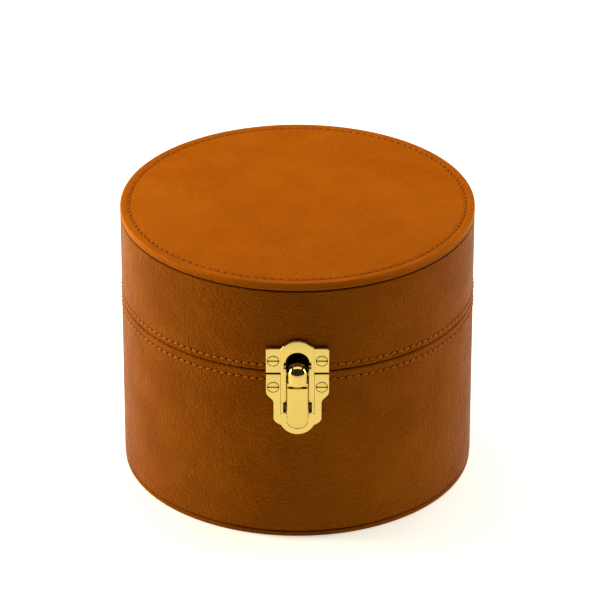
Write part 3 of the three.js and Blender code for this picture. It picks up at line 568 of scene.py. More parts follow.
def top_cover():
    inside = high("lid_shell").x + UNDER_SKIN
    top_corner = 1.7 * MM
    radii = np.concatenate(
        [np.linspace(0, 60, 16), np.linspace(63, 73, 6), np.linspace(73.6, 78.2, 20)]
    )
    surface = [(r * MM, top_height(r * MM), 0.0) for r in radii]
    edge = top_height(RADIUS)
    outside = [(RADIUS + PROUD, edge, top_corner), (RADIUS + PROUD, DISC_FOOT, 0.7 * MM)]
    under = [
        (inside, DISC_FOOT, 0),
        (inside, edge - LEATHER - UNDER_SKIN, 0),
        (40 * MM, top_height(40 * MM) - LEATHER, 0),
        (0, top_height(0) - LEATHER, 0),
    ]
    mesh = revolved(rounded(surface + outside + under), name="top_cover")
    made = piece("top_cover", mesh, LIT_TOP_LEATHER, "lid", ["lid_top_leather"])


def top_wadding():
    """The wadding that pads the top leather."""
    foot, radius = low("lid_top_foam").z, high("lid_top_foam").x
    surface = [(r, top_height(r) - LEATHER - 0.35 * MM, 0.0) for r in np.linspace(0, 0.9 * radius, 14)]
    edge = (radius, foot + 0.35 * MM, 0.3 * MM)
    mesh = revolved(rounded([*surface, edge, (radius, foot, 0), (0, foot, 0)]), name="wadding")
    made = piece("top_wadding", mesh, WADDING, "lid", ["lid_top_foam"])


def bottom_cover():
    radius = high("bottom_disc").x
    top = high("bottom_disc").z
    corners = [(0, 0, 0), (radius, 0, 0.9 * MM), (radius, top, 0.9 * MM), (0, top, 0)]
    mesh = revolved(rounded(corners), name="bottom_cover")
    piece("bottom_cover", mesh, BASE_LEATHER, "base", ["bottom_disc"])


# ---------------------------------------------------------------- stitching


def stitch_rings():
    """One stitch as rings of points (along, across, out): fat in the middle, diving in at both ends."""
    thick = STITCH_THICKNESS
    rings = []
    for k in range(STITCH_RINGS):
        t = k / (STITCH_RINGS - 1) * 2 - 1
        half = thick / 2 * math.sqrt(max(0.0, 1 - t**4)) * 0.98 + thick * 0.01
        lift = thick * 0.22 * (1 - t**2) - thick * 0.5 * t**6
        ring = []
        for j in range(RING_POINTS):
            turn = TURN * j / RING_POINTS
            across = math.cos(turn) * half + STITCH_SLANT * t
            ring.append((t * STITCH_LENGTH / 2, across, math.sin(turn) * half + lift))
        rings.append(ring)
    return rings


def stitch_row(name, body, place, count, hidden):
    """A row of stitches. place(turn, along, across, out) gives the point near that turn about Z."""
    vertices, faces = [], []
    rings = stitch_rings()
    tube = tube_faces(STITCH_RINGS, RING_POINTS)
    rng = random.Random(7)
    for i in range(count):
        turn = TURN * (i + 0.5) / count
        x, y, _ = place(turn, 0, 0, 0)
        jitter = rng.uniform(-0.05, 0.05) * MM
        if hidden(x, y):
            continue
        start = len(vertices)
        for ring in rings:
            vertices += [place(turn, a + jitter, b, c) for a, b, c in ring]
        faces += [tuple(start + corner for corner in face) for face in tube]
    piece(name, mesh_of(vertices, faces, name), THREAD, body, sharp=80)


def on_wall(z):
    """Places a stitch on the wall at a height."""

    def place(turn, along, across, out):
        r = RADIUS - PULL + out
        angle = turn + along / RADIUS
        return (r * math.sin(angle), -r * math.cos(angle), z + across)

    return place


def on_top(radius):
    """Places a stitch on the top disc at a radius."""

    def place(turn, along, across, out):
        angle = turn + along / radius
        r = radius + across
        return (r * math.sin(angle), -r * math.cos(angle), top_height(radius) + out)

    return place


def under_brass(x, y):
    in_front = y < 0 and abs(x) < high("clasp_lid_plate").x
    behind = y > 0 and abs(x) < high("hinge_leaf_lid").x
    return in_front or behind


def stitching():
    count = WALL_STITCHES
    stitch_row("base_stitches", "base", on_wall(BASE_RIM - BASE_ROW), count, under_brass)
    stitch_row("lid_stitches", "lid", on_wall(LID_RIM + LID_ROW), count, under_brass)
    row = RADIUS - TOP_ROW
    stitch_row("top_stitches", "lid", on_top(row), TOP_STITCHES, lambda x, y: False)


# ---------------------------------------------------------------- carried-over CAD nodes


def dress(node, material, bevel=0.0):
    """Gives a CAD node its material and, where it shows, softened edges."""
    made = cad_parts[node]
    made.data.materials.clear()
    made.data.materials.append(material)
    if bevel:
        weld = made.modifiers.new("weld", "WELD")
        weld.merge_threshold = 0.00001
        soft = made.modifiers.new("soft_edges", "BEVEL")
        soft.width = bevel
        soft.segments = 2
        soft.limit_method = "ANGLE"
        soft.angle_limit = math.radians(35)
        soft.harden_normals = False
        smooth = made.modifiers.new("even_shading", "WEIGHTED_NORMAL")
        smooth.keep_sharp = True


# ---------------------------------------------------------------- brasswork, in front and behind

HASP_FACE = 2.1 * MM
PLATE_FACE = 1.4 * MM
RECESS = 0.8 * MM
SEAT = 0.05 * MM  # between the leather and the back of the brass
BURIED = -3 * MM  # where plates start, inside the leather, before they are cut to the wall
PLATE_EDGE = 0.28 * MM
LEVER_HALF = high("clasp_lever").x
SLOT = LEVER_HALF + 0.45 * MM
HASP_HALF = SLOT + 2.3 * MM
LEGS_END = low("clasp_lid_plate").z - SPLIT
PLATE_HALF = high("clasp_lid_plate").x
ARCH_TOP = high("clasp_lid_plate").z - SPLIT
SLOT_TOP = ARCH_TOP - 5.8 * MM
TOE = low("clasp_base_plate").z - SPLIT
PIVOT_OUT = 3.1 * MM
PIVOT_UP = 1.0 * MM
KNOB_FOOT = -3.5 * MM  # from the split
HINGE_OUT = 3 * MM  # the hinge's axis, out from the leather at the height of the split
LEAF_FACE = 1.5 * MM
KNUCKLE = 2.6 * MM
HINGE_BORE = 1.4 * MM
LID_OPEN = math.radians(95)
HEEL_GAP = 0.3 * MM  # between the heel and the base's leaf when the lid is open


def seated(mesh):
    """Brass cut to the round wall that it is screwed to."""
    reach = RADIUS + SEAT
    wall = revolved([(0, 0), (reach, 0), (reach, CROWN), (0, CROWN)], 360, "wall")
    return boolean(mesh, wall)


def drilled(mesh, screws, face, side):
    """Countersunk pockets for the screws, cut through a plate."""
    for screw in screws:
        middle = (low(screw) + high(screw)) / 2
        r = (high(screw).x - low(screw).x) / 2 + 0.12 * MM
        lip = face + 0.1 * MM
        profile = [(0, -3 * MM), (r, -3 * MM), (r, face - 0.12 * MM), (r + 0.16 * MM, lip), (0, lip)]
        cutter = revolved(profile, 48, "drill")
        cutter.transform(FACE_FRONT)
        cutter.transform(Matrix.Translation((0, FRONT, 0)))
        if side > 0:
            cutter.transform(TO_BACK)
        cutter.transform(Matrix.Translation((middle.x, 0, middle.z)))
        mesh = boolean(mesh, cutter)
    return mesh


def screw(node, body, side):
    """A countersunk slotted screw, its slot level, its head just proud of the plate."""
    radius = (high(node).x - low(node).x) / 2
    x = (low(node).x + high(node).x) / 2
    z = (low(node).z + high(node).z) / 2
    face = (high(node).y if side > 0 else -low(node).y) - RADIUS
    profile = [
        (0, -4.5 * MM, 0),
        (0.9 * MM, -4.1 * MM, 0.2 * MM),
        (1.15 * MM, -2.0 * MM, 0),
        (1.15 * MM, face - 1.5 * MM, 0),
        (radius, face - 0.45 * MM, 0.1 * MM),
        (radius - 0.05 * MM, face - 0.10 * MM, 0.18 * MM),
        (radius * 0.55, face + 0.02 * MM, 0.6 * MM),
        (0, face + 0.06 * MM, 0),
    ]
    head = revolved(rounded(profile, 4), 64, "screw")
    groove = block(-3 * MM, 3 * MM, -0.36 * MM, 0.36 * MM, face - 1.0 * MM, face + MM)
    head = boolean(head, groove)
    head.transform(FACE_FRONT)
    head.transform(Matrix.Translation((0, FRONT, 0)))
    if side > 0:
        head.transform(TO_BACK)
    head.transform(Matrix.Translation((x, 0, z)))
    piece(node + "_turned", head, BRASS, body, [node], 30)


def screws_of(kind, body):
    return [f"{kind}_screw_{body}_{hand}" for hand in ("left", "right")]


def hasp_outline():
    arch = HASP_HALF + 1.5 * MM
    centre = ARCH_TOP - arch
    spring = math.degrees(math.acos(HASP_HALF / arch))
    crown = arc(0, centre, arch, spring, 180 - spring, 40)
    inner = arc(0, SLOT_TOP - SLOT, SLOT, 180, 0, 32)
    notch_low, notch_high, notch = -19.2 * MM, -14.3 * MM, SLOT + 1.1 * MM
    left_leg = [(-HASP_HALF, LEGS_END + 0.4 * MM), (-HASP_HALF + 0.4 * MM, LEGS_END), (-SLOT, LEGS_END)]
    left_notch = [(-SLOT, notch_low), (-notch, notch_low), (-notch, notch_high), (-SLOT, notch_high)]
    right = [(-x, z) for x, z in reversed(left_leg + left_notch)]
    return crown + left_leg + left_notch + inner + right


def lid_plate():
    shoulder = 12.3 * MM
    corner = 1.2 * MM
    foot = 0.35 * MM
    x = PLATE_HALF
    outline = [(-x, foot), (x, foot)]
    outline += arc(x - corner, shoulder - corner, corner, 0, 90, 10)
    outline += arc(-x + corner, shoulder - corner, corner, 90, 180, 10)
    opening = plate(arch_outline(SLOT, -3 * MM, SLOT_TOP), -5 * MM, 6 * MM, 0.01 * MM)
    shoulders = boolean(plate(outline, BURIED, PLATE_FACE, PLATE_EDGE), opening)
    hasp = plate(hasp_outline(), BURIED, HASP_FACE, 0.42 * MM, segments=4)
    whole = seated(boolean(shoulders, hasp, "UNION"))
    whole = drilled(whole, screws_of("clasp", "lid"), PLATE_FACE, -1)

    wall = 0.4 * MM
    ring = arch_outline(SLOT + wall, 0.6 * MM, SLOT_TOP + wall)
    cup = plate(ring, -2.5 * MM, RECESS, 0.02 * MM)
    hollow = plate(arch_outline(SLOT, -MM, SLOT_TOP), -2.1 * MM, 3 * MM, 0.02 * MM)
    cup = boolean(cup, hollow)
    whole = boolean(whole, cup, "UNION")
    for side in (-1, 1):
        whole = boolean(whole, cheek(side), "UNION")
    piece("clasp_hasp", whole, BRASS, "lid", ["clasp_lid_plate"], 28)


def arch_outline(half, foot, top):
    return [(-half, foot), (half, foot)] + arc(0, top - half, half, 0, 180, 36)


def along_x(outline, x0, x1, name):
    """A closed profile of (out from the leather, up from the split), drawn out along X."""
    return lofted([[(x, FRONT - out, SPLIT + up) for out, up in outline] for x in (x0, x1)], name)


def cheek(side):
    """The raised cheek that holds one end of the pivot pin."""
    face = 4.8 * MM
    profile = [
        (RECESS, 5.4 * MM, 0),
        (HASP_FACE, 5.4 * MM, 0.3 * MM),
        (face - 0.2 * MM, 4.8 * MM, 1.7 * MM),
        (face, PIVOT_UP - 1.2 * MM, 1.2 * MM),
        (HASP_FACE, -13.3 * MM, 0.3 * MM),
        (RECESS, -13.3 * MM, 0),
    ]
    x0, x1 = sorted((side * SLOT, side * (SLOT + MM)))
    return along_x(rounded(profile, 8), x0, x1, "cheek")


def base_plate():
    toe_radius = LEVER_HALF + 3.25 * MM
    centre = TOE + toe_radius
    waist = HASP_HALF + 3.2 * MM
    waist_foot = LEGS_END - 2.4 * MM
    start = math.degrees(math.asin((waist_foot - 3.7 * MM - centre) / toe_radius))
    right = arc(0, centre, toe_radius, -90, start, 28)
    swell = (waist - 2 * MM, waist_foot - 2.8 * MM)
    right += bend(right[-1], swell, (waist, waist_foot - 2 * MM), (waist, waist_foot))
    right += bend(right[-1], (waist, waist_foot + 3 * MM), (waist, -18 * MM), (waist, -15.2 * MM))
    right += bend(right[-1], (waist, -12.4 * MM), (PLATE_HALF, -12 * MM), (PLATE_HALF, -9.2 * MM))
    right += [(PLATE_HALF, -0.35 * MM)]
    outline = right + [(-x, z) for x, z in reversed(right[1:])]
    whole = seated(plate(outline, BURIED, PLATE_FACE, PLATE_EDGE))
    foot = low("clasp_lever").z - SPLIT - 0.35 * MM
    reach = LEVER_HALF + 0.35 * MM
    recess = [(reach, 3 * MM), (-reach, 3 * MM)] + arc(0, foot + reach, reach, 180, 360, 36)
    whole = boolean(whole, plate(recess, RECESS, 4 * MM, 0.01 * MM))
    for side in (-1, 1):
        x0, x1 = sorted((side * (SLOT - 0.1 * MM), side * (HASP_HALF + 0.1 * MM)))
        end = LEGS_END - 0.3 * MM
        slot = block(x0, x1, FRONT - 4 * MM, FRONT + 4 * MM, SPLIT + end, SPLIT + 2 * MM)
        whole = boolean(whole, slot)
    whole = drilled(whole, screws_of("clasp", "base"), PLATE_FACE, -1)
    piece("clasp_strike", whole, BRASS, "base", ["clasp_base_plate"], 28)


def bend(a, b, c, d, steps=14):
    """A cubic curve from a to d, without its first point."""
    points = []
    for k in range(1, steps + 1):
        t = k / steps
        weights = ((1 - t) ** 3, 3 * t * (1 - t) ** 2, 3 * t**2 * (1 - t), t**3)
        points.append(tuple(sum(w * p[i] for w, p in zip(weights, (a, b, c, d))) for i in (0, 1)))
    return points


def paddle():
    """The lever below its knob: a crowned strap that thins towards its round foot."""
    foot = low("clasp_lever").z - SPLIT
    top = -2.6 * MM
    centre = foot + LEVER_HALF
    thin_end, thick_end = 1.9 * MM, 7.3 * MM  # the face, out from the leather
    levels = [top, -4.6 * MM, -4.65 * MM, -4.9 * MM, -4.95 * MM]
    levels += list(np.linspace(-5.2 * MM, centre, 24))
    levels += [centre - LEVER_HALF * math.sin(t) for t in np.linspace(0.07, math.pi / 2 - 0.03, 20)]
    rings = []
    for z in levels:
        below = max(0.0, centre - z) / LEVER_HALF
        half = LEVER_HALF * math.sqrt(max(0.0, 1 - below**2))
        along = (z - foot) / (KNOB_FOOT - foot)
        face = thin_end + (thick_end - thin_end) * along
        face -= 0.9 * MM * min(1.0, max(0.0, (z + 4.9 * MM) / (0.25 * MM)))
        slope = min(1.0, max(0.0, (z - foot - 6.2 * MM) / (1.2 * MM)))
        back = 1.1 * MM + 1.2 * MM * slope
        middle, thick = (face + back) / 2, (face - back) / 2
        thin = (1 - below**6) ** 0.5
        ring = []
        for k in range(48):
            turn = TURN * k / 48
            c, q = math.cos(turn), math.sin(turn)
            x = half * math.copysign(abs(c) ** 0.42, c)
            out = middle + thick * thin * math.copysign(abs(q) ** 0.36, q)
            if q > 0:
                out -= 0.45 * MM * (x / LEVER_HALF) ** 2 * min(1.0, thick / MM)
            ring.append((x, FRONT - out, SPLIT + z))
        rings.append(ring)
    return lofted(rings, "paddle")


def hole_along_x(radius, half, out, up, steps):
    """A cutter for a hole along X, out from the leather and up from the split."""
    cutter = revolved([(0, -half), (radius, -half), (radius, half), (0, half)], steps, "hole")
    cutter.transform(LIE_ALONG_X)
    cutter.transform(Matrix.Translation((0, FRONT - out, SPLIT + up)))
    return cutter


def lever():
    radius = high("clasp_lever").z - SPLIT - PIVOT_UP
    turns = np.linspace(math.pi / 2, 0, 22)
    dome = [(radius * math.cos(t), PIVOT_UP + radius * math.sin(t)) for t in turns]
    dome[0] = (0.0, dome[0][1])
    foot = [(radius, KNOB_FOOT + 2 * MM, 0), (radius, KNOB_FOOT, 0.35 * MM), (0, KNOB_FOOT, 0)]
    knob = revolved(dome + [tuple(p) for p in rounded(foot, 5)], 96, "knob")
    for vertex in knob.vertices:
        vertex.co.x *= LEVER_HALF / radius
    knob.transform(Matrix.Translation((0, FRONT - PIVOT_OUT, SPLIT)))
    y = FRONT - PIVOT_OUT + 0.8 * MM
    front_half = block(-9 * MM, 9 * MM, y - 15 * MM, y, SPLIT - 20 * MM, SPLIT + 20 * MM)
    knob = boolean(knob, front_half, "INTERSECT")
    whole = boolean(knob, paddle(), "UNION")
    whole = boolean(whole, hole_along_x(1 * MM, 9 * MM, PIVOT_OUT, PIVOT_UP, 40))
    piece("clasp_thumb_lever", whole, BRASS, "lever", ["clasp_lever"], 32)


def pin(node, body, radius):
    """A pin along X with domed ends."""
    lo, hi = low(node), high(node)
    half = (hi.x - lo.x) / 2
    profile = [(0, -half, 0), (radius, -half, 0.3 * radius), (radius, half, 0.3 * radius), (0, half, 0)]
    mesh = revolved(rounded(profile, 5), 40, node)
    mesh.transform(LIE_ALONG_X)
    mesh.transform(Matrix.Translation((lo + hi) / 2))
    piece(node + "_rod", mesh, BRASS, body, [node], 30)


def barrel(x0, x1):
    """A hinge knuckle along X with softened ends. Its hole is drilled out to the bore later."""
    half = (x1 - x0) / 2
    hole, soft = 0.4 * MM, 0.25 * MM
    profile = [(hole, -half, 0), (KNUCKLE, -half, soft), (KNUCKLE, half, soft), (hole, half, 0)]
    mesh = revolved(rounded(profile, 4), 48, "barrel")
    mesh.transform(LIE_ALONG_X)
    mesh.transform(Matrix.Translation(((x0 + x1) / 2, FRONT - HINGE_OUT, SPLIT)))
    return mesh


def hinge_leaf(node, body, way, spans, name):
    """A leaf seen as on the front, then turned to the back. way is 1 for the lid's and -1 for the base's."""
    half = high(node).x
    edge = 15 * MM
    near = 2.9 * MM
    corner = 2 * MM
    outline = [(-half, near * way), (half, near * way)]
    ends = arc(half - corner, edge - corner, corner, 0, 90, 10)
    ends += arc(-half + corner, edge - corner, corner, 90, 180, 10)
    outline += [(x, z * way) for x, z in ends]
    whole = plate(outline, BURIED, LEAF_FACE, 0.3 * MM)
    bore = hole_along_x(HINGE_BORE, 20 * MM, HINGE_OUT, 0, 48)
    for x0, x1 in spans:
        z0, z1 = sorted((0, way * 3.9 * MM))
        web = block(x0, x1, FRONT - LEAF_FACE, FRONT + 3 * MM, SPLIT + z0, SPLIT + z1)
        whole = boolean(whole, web, "UNION")
        whole = boolean(whole, barrel(x0, x1), "UNION")
    if way > 0:
        whole = boolean(whole, heel(node), "UNION")
    whole = boolean(seated(whole), bore)
    whole.transform(TO_BACK)
    whole = drilled(whole, screws_of("hinge", body), LEAF_FACE, 1)
    piece(name, whole, BRASS, body, [node], 28)


def heel(node):
    """The stop behind the lid's knuckle, which lands on the other leaf when the lid is open."""
    reach = high(node).y - RADIUS
    drop = HINGE_OUT - LEAF_FACE - HEEL_GAP
    under = -(drop + (reach - HINGE_OUT) * math.cos(LID_OPEN)) / math.sin(LID_OPEN)
    over = under + 1.5 * MM
    profile = [(3 * MM, under, 0), (reach, under, 0.2 * MM), (reach, over, 0.5 * MM), (3 * MM, over, 0)]
    return along_x(rounded(profile, 5), -4 * MM, 4 * MM, "heel")


def brasswork():
    lid_plate()
    base_plate()
    lever()
    pin("clasp_pivot_pin", "lid", 0.7 * MM)
    pin("hinge_pin", "base", 1.1 * MM)
    half = high("hinge_leaf_lid").x
    hinge_leaf("hinge_leaf_lid", "lid", 1, [(-5.7 * MM, 5.7 * MM)], "hinge_flap")
    hinge_leaf("hinge_leaf_base", "base", -1, [(-half, -6 * MM), (6 * MM, half)], "hinge_flange")
    for kind, side in (("clasp", -1), ("hinge", 1)):
        for body in ("base", "lid"):
            for node in screws_of(kind, body):
                screw(node, body, side)
    dress("clasp_catch_spring", BRONZE, 0.05 * MM)


# ---------------------------------------------------------------- lining, tray and mirror


PAD_VOXEL = 1.6 * MM
PAD_SWELL = 0.9 * MM  # the farthest that the skin of a pad moves
PAD_PRESSURE = 4.0
PAD_FRAMES = 20


def cushion(mesh, name):
    """Swells a slightly small shape with a short cloth simulation, and returns its mesh."""
    made = placed(name, mesh)
    remesh = made.modifiers.new("remesh", "REMESH")
    remesh.mode = "VOXEL"
    remesh.voxel_size = PAD_VOXEL
    mesh = applied(made)
    start = np.array([v.co[:] for v in mesh.vertices])
    made = placed(name, mesh)
    cloth = made.modifiers.new("cloth", "CLOTH")
    cloth.settings.use_pressure = True
    cloth.settings.uniform_pressure_force = PAD_PRESSURE
    cloth.settings.effector_weights.gravity = 0
    cloth.settings.quality = 5
    cloth.collision_settings.use_collision = False
    scene = bpy.context.scene
    cloth.point_cache.frame_start = 1
    cloth.point_cache.frame_end = PAD_FRAMES
    for number in range(1, PAD_FRAMES + 1):
        scene.frame_set(number)
    swollen = applied(made)
    scene.frame_set(1)
    end = np.array([v.co[:] for v in swollen.vertices])
    move = end - start
    length = np.linalg.norm(move, axis=1, keepdims=True)
    move *= np.minimum(1.0, PAD_SWELL / np.maximum(length, 1e-9))
    for vertex, place in zip(swollen.vertices, start + move):
        vertex.co = place
    return swollen


def within(mesh, lo, hi, radius, inset):
    """Keeps a soft mesh inside its box and inside a round wall."""
    for vertex in mesh.vertices:
        co = vertex.co
        for k in range(3):
            co[k] = min(max(co[k], lo[k] + inset), hi[k] - inset)
        flat = math.hypot(co.x, co.y)
        if flat > radius:
            co.x *= radius / flat
            co.y *= radius / flat


def lathe(node, name, corners, material, body):
    mesh = revolved(rounded(corners), name=name)
    return piece(name, mesh, material, body, [node])


def heights(node):
    return low(node).z, high(node).z


def ring_radii(node, wall):
    outer = high(node).x
    return outer - wall, outer


def well():
    inner, outer = ring_radii("neck_ring", 2.4 * MM)
    z0, z1 = heights("neck_ring")
    corners = [(inner, z0, 0), (outer, z0, 0), (outer, z1, 1.1 * MM), (inner, z1, 1.1 * MM)]
    lathe("neck_ring", "neck_lining", corners, SUEDE, "base")
    inner, outer = ring_radii("well_ring", 3 * MM)
    z0, z1 = heights("well_ring")
    corners = [(inner, z0, 0), (outer, z0, 0), (outer, z1, 0.5 * MM), (inner, z1, 1.2 * MM)]
    lathe("well_ring", "well_lining", corners, SUEDE, "base")
    radius = high("well_floor_pad").x
    z0, z1 = heights("well_floor_pad")
    quilt = [(r * radius, z1 - 0.8 * MM * r**4, 0) for r in np.linspace(0, 0.94, 12)]
    corners = [(0, z0, 0), (radius - 0.4 * MM, z0, 1.2 * MM), (radius, (z0 + z1) / 2, 1.2 * MM)]
    corners += reversed(quilt)
    pad = lathe("well_floor_pad", "well_cushion", corners, SUEDE, "base")


def lid_inside():
    inner, outer = ring_radii("lid_lining", 0.8 * MM)
    z0, z1 = heights("lid_lining")
    corners = [(inner, z0, 0.35 * MM), (outer, z0, 0.35 * MM), (outer, z1, 0), (inner, z1, 0)]
    lathe("lid_lining", "lid_side_lining", corners, SUEDE, "lid")
    radius = high("lid_headliner").x
    z0, z1 = heights("lid_headliner")
    frame_edge = high("lid_mirror_frame").x
    corners = [
        (0, z0, 0),
        (frame_edge, z0, 0),
        (frame_edge + 4 * MM, z0, 0),
        (radius - 6 * MM, z0 + 0.1 * MM, 2 * MM),
        (radius, z0 + 1.2 * MM, 0.6 * MM),
        (radius, z1, 0),
        (0, z1, 0),
    ]
    pad = lathe("lid_headliner", "lid_head_padding", corners, SUEDE, "lid")
    radius = high("lid_mirror").x
    z0, z1 = heights("lid_mirror")
    corners = [(0, z0, 0), (radius - 1.2 * MM, z0, 0.2 * MM), (radius, z0 + 0.5 * MM, 0.2 * MM)]
    corners += [(radius, z1, 0), (0, z1, 0)]
    lathe("lid_mirror", "mirror_plate", corners, MIRROR, "lid")
    outer = high("lid_mirror_frame").x
    z0, z1 = heights("lid_mirror_frame")
    seat = z1 - 2.5 * MM
    corners = [
        (outer - 5.5 * MM, z0 + 0.15 * MM, 0.3 * MM),
        (outer - 3.9 * MM, z0 + 0.1 * MM, 0.25 * MM),
        (outer - 3.5 * MM, z0 + 0.4 * MM, 0.2 * MM),
        (outer - 2.4 * MM, z0, 0.8 * MM),
        (outer, z0 + 0.9 * MM, 0.8 * MM),
        (outer, z1, 0.2 * MM),
        (outer - 3.7 * MM, z1, 0),
        (outer - 3.7 * MM, seat, 0),
        (outer - 5.5 * MM, seat, 0.15 * MM),
    ]
    lathe("lid_mirror_frame", "mirror_rim", corners, BRASS, "lid")


def divider(node, name):
    """A tray divider with its edges rounded by a bevel."""
    lo, hi = low(node), high(node)
    mesh = block(lo.x, hi.x, lo.y, hi.y, lo.z, hi.z)
    made = placed(name, mesh)
    soft = made.modifiers.new("round", "BEVEL")
    soft.width = 0.7 * MM
    soft.segments = 5
    piece(name, applied(made), SUEDE, "tray", [node], 50)


def ring_roll(index):
    """A padded roll: plump between its ends, gathered to a button seam at each end."""
    node = f"ring_roll_{index}"
    lo, hi = low(node), high(node)
    middle = (lo + hi) / 2
    half, radius = (hi.x - lo.x) / 2, (hi.z - lo.z) / 2
    rings = []
    rng = random.Random(index)
    waves = [(rng.uniform(60, 190), rng.uniform(0, TURN), rng.uniform(0, TURN)) for _ in range(5)]
    stations = np.sin(np.linspace(-math.pi / 2 + 0.06, math.pi / 2 - 0.06, 72))
    for t in stations:
        x = t * half
        from_end = half - abs(x)
        full = min(1.0, from_end / (3.2 * MM))
        plump = radius * math.sqrt(1 - (1 - full) ** 2.6) * 0.985
        ring = []
        for k in range(48):
            turn = TURN * k / 48
            ripple = sum(math.sin(rate * x * 10 + phase + 2 * math.sin(turn + start))
                         for rate, phase, start in waves)
            r = plump * (1 - 0.012 * (1 + ripple / 5))
            ring.append((middle.x + x, middle.y + r * math.cos(turn), middle.z + r * math.sin(turn)))
        rings.append(ring)
    made = piece(f"padded_roll_{index}", lofted(rings, node), SUEDE, "tray", [node], 60)


def compartment_pad(side, node):
    lo, hi = low(node), high(node)
    near, far = sorted((abs(lo.x), abs(hi.x)))
    radius = math.hypot(near, hi.y)
    inset = 0.5 * MM
    x0, y0, r = near + inset, lo.y + inset, radius - inset
    corner = [(x0, y0)]
    start, end = math.asin(y0 / r), math.acos(x0 / r)
    corner += [(r * math.cos(t), r * math.sin(t)) for t in np.linspace(start, end, 40)]
    if side < 0:
        corner = [(-x, y) for x, y in reversed(corner)]
    count = len(corner)
    z0, z1 = lo.z + 0.2 * MM, hi.z - 0.5 * MM
    points = [(x, y, z) for z in (z0, z1) for x, y in corner]
    faces = [(k, (k + 1) % count, (k + 1) % count + count, k + count) for k in range(count)]
    faces += [tuple(reversed(range(count))), tuple(range(count, 2 * count))]
    mesh = cushion(mesh_of(points, faces, node), node)
    within(mesh, lo, hi, radius, 0.02 * MM)
    smooth = placed(node + "_soft", mesh)
    divide = smooth.modifiers.new("subdivide", "SUBSURF")
    divide.levels = divide.render_levels = 1
    mesh = applied(smooth)
    name = "left_pad" if side < 0 else "right_pad"
    made = piece(name, mesh, SUEDE, "tray", [node], 180)


def pull_tab(node):
    """A leather tab with a round top and softened edges."""
    lo, hi = low(node), high(node)
    half, thick = (hi.y - lo.y) / 2, hi.x - lo.x
    foot, top = lo.z - SPLIT, hi.z - SPLIT
    strip = plate(arch_outline(half, foot, top), 0, thick, 0.4 * MM)
    turn = Matrix.Rotation(math.pi / 2, 4, "Z") @ Matrix.Translation((0, RADIUS, 0))
    strip.transform(turn)
    strip.transform(Matrix.Translation((hi.x, (lo.y + hi.y) / 2, 0)))
    piece(node + "_strip", strip, SHADED_WALL_LEATHER, "tray", [node])


def tray():
    inner, outer = ring_radii("tray_shell", 2.2 * MM)
    z0, z1 = heights("tray_shell")
    floor = z0 + 2.2 * MM
    corners = [(0, z0, 0), (outer, z0, 0.8 * MM), (outer, z1, 1.0 * MM), (inner, z1, 1.0 * MM)]
    corners += [(inner, floor, 0.5 * MM), (0, floor, 0)]
    lathe("tray_shell", "tray_bowl", corners, SUEDE, "tray")
    divider("tray_divider_long", "long_partition")
    divider("tray_divider_cross", "cross_partition")
    for index in range(1, 6):
        ring_roll(index)
    compartment_pad(-1, "tray_pad_left")
    compartment_pad(1, "tray_pad_right")
    pull_tab("tray_tab_left")
    pull_tab("tray_tab_right")


# ---------------------------------------------------------------- camera, light and floor

LENS = 250.9  # millimetres on a 36 mm sensor
DISTANCE = 24 * RADIUS
ELEVATION = math.radians(28.70)
TILT_UP = math.radians(0.570)
TURN_RIGHT = math.radians(0.034)


def make_camera():
    target = Vector((0, 0, 0.7 * RADIUS))
    away = Vector((0, -math.cos(ELEVATION), math.sin(ELEVATION)))
    data = bpy.data.cameras.new("camera")
    data.lens = LENS
    data.sensor_width = 36
    data.clip_start = 0.05
    camera = placed("camera", data)
    look = (-away).to_track_quat("-Z", "Y").to_matrix().to_4x4()
    nudge = Matrix.Rotation(TILT_UP, 4, "X") @ Matrix.Rotation(-TURN_RIGHT, 4, "Y")
    camera.matrix_world = Matrix.Translation(target + away * DISTANCE) @ look @ nudge
    bpy.context.scene.camera = camera


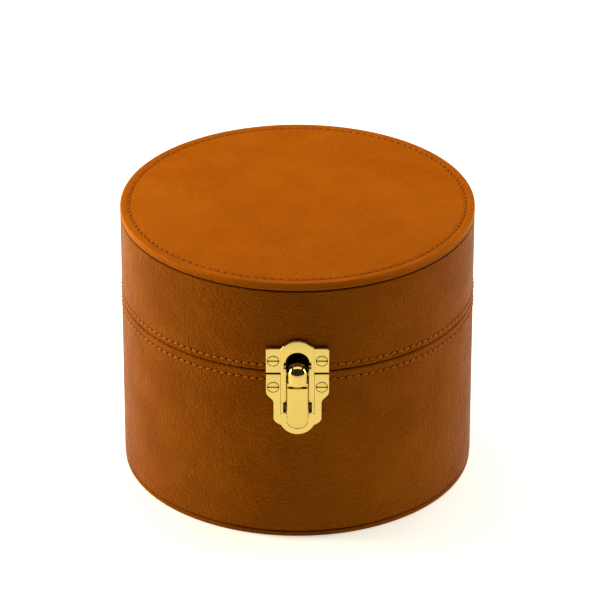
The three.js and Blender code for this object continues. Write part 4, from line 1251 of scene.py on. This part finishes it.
def softbox(name, place, target, width, height, power, colour):
    data = bpy.data.lights.new(name, "AREA")
    data.shape = "RECTANGLE"
    data.size = width
    data.size_y = height
    data.energy = power
    data.color = colour
    light = placed(name, data)
    look = (Vector(target) - Vector(place)).to_track_quat("-Z", "Y")
    light.matrix_world = Matrix.Translation(place) @ look.to_matrix().to_4x4()


def make_studio():
    world = bpy.data.worlds.new("studio")
    world.use_nodes = True
    world.node_tree.nodes["Background"].inputs["Color"].default_value = rgb(1, 1, 1)
    world.node_tree.nodes["Background"].inputs["Strength"].default_value = 0.035
    bpy.context.scene.world = world
    middle = (0, 0, 0.07)
    softbox("top_light", (0, 0.16, 0.60), middle, 0.95, 0.75, 4.5, (1.0, 0.97, 0.91))
    softbox("left_light", (-0.85, 0.10, 0.26), middle, 0.35, 0.5, 10.6, (1.0, 0.94, 0.45))
    softbox("right_light", (0.85, 0.16, 0.26), middle, 0.35, 0.5, 4.7, (1.0, 0.94, 0.45))

    n = Nodes("pale_floor")
    speckle = n.noise(14, 3, 0.5)
    paper = n.mix(n.range(speckle, 0.3, 0.7), rgb(0.93, 0.93, 0.93), rgb(0.95, 0.95, 0.95))
    material = n.finish(paper, n.range(speckle, 0.3, 0.7, 0.75, 0.85), Specular_IOR_Level=0.1)
    n.shader.inputs["Emission Color"].default_value = rgb(1, 1, 1)
    x, y, _ = n.axes()
    far = n.math("SQRT", n.math("ADD", n.math("MULTIPLY", x, x), n.math("MULTIPLY", y, y)))
    n.feed(n.shader.inputs["Emission Strength"], n.range(far, 0.7, 1.8, 0.5, 1.0, True))
    reach = 12
    corners = [(-reach, -reach, 0), (reach, -reach, 0), (reach, reach, 0), (-reach, reach, 0)]
    sheet = mesh_of(corners, [(0, 1, 2, 3)], "floor")
    sheet.materials.append(material)
    floor = placed("floor", sheet)
    bpy.context.scene.view_settings.view_transform = "Standard"


make_camera()
make_studio()
base_wall()
lid_wall()
top_cover()
top_wadding()
bottom_cover()
stitching()
brasswork()
well()
lid_inside()
tray()
for node in ("base_shell", "base_floor", "lid_shell", "lid_ceiling", "lid_top_board"):
    dress(node, WOOD)
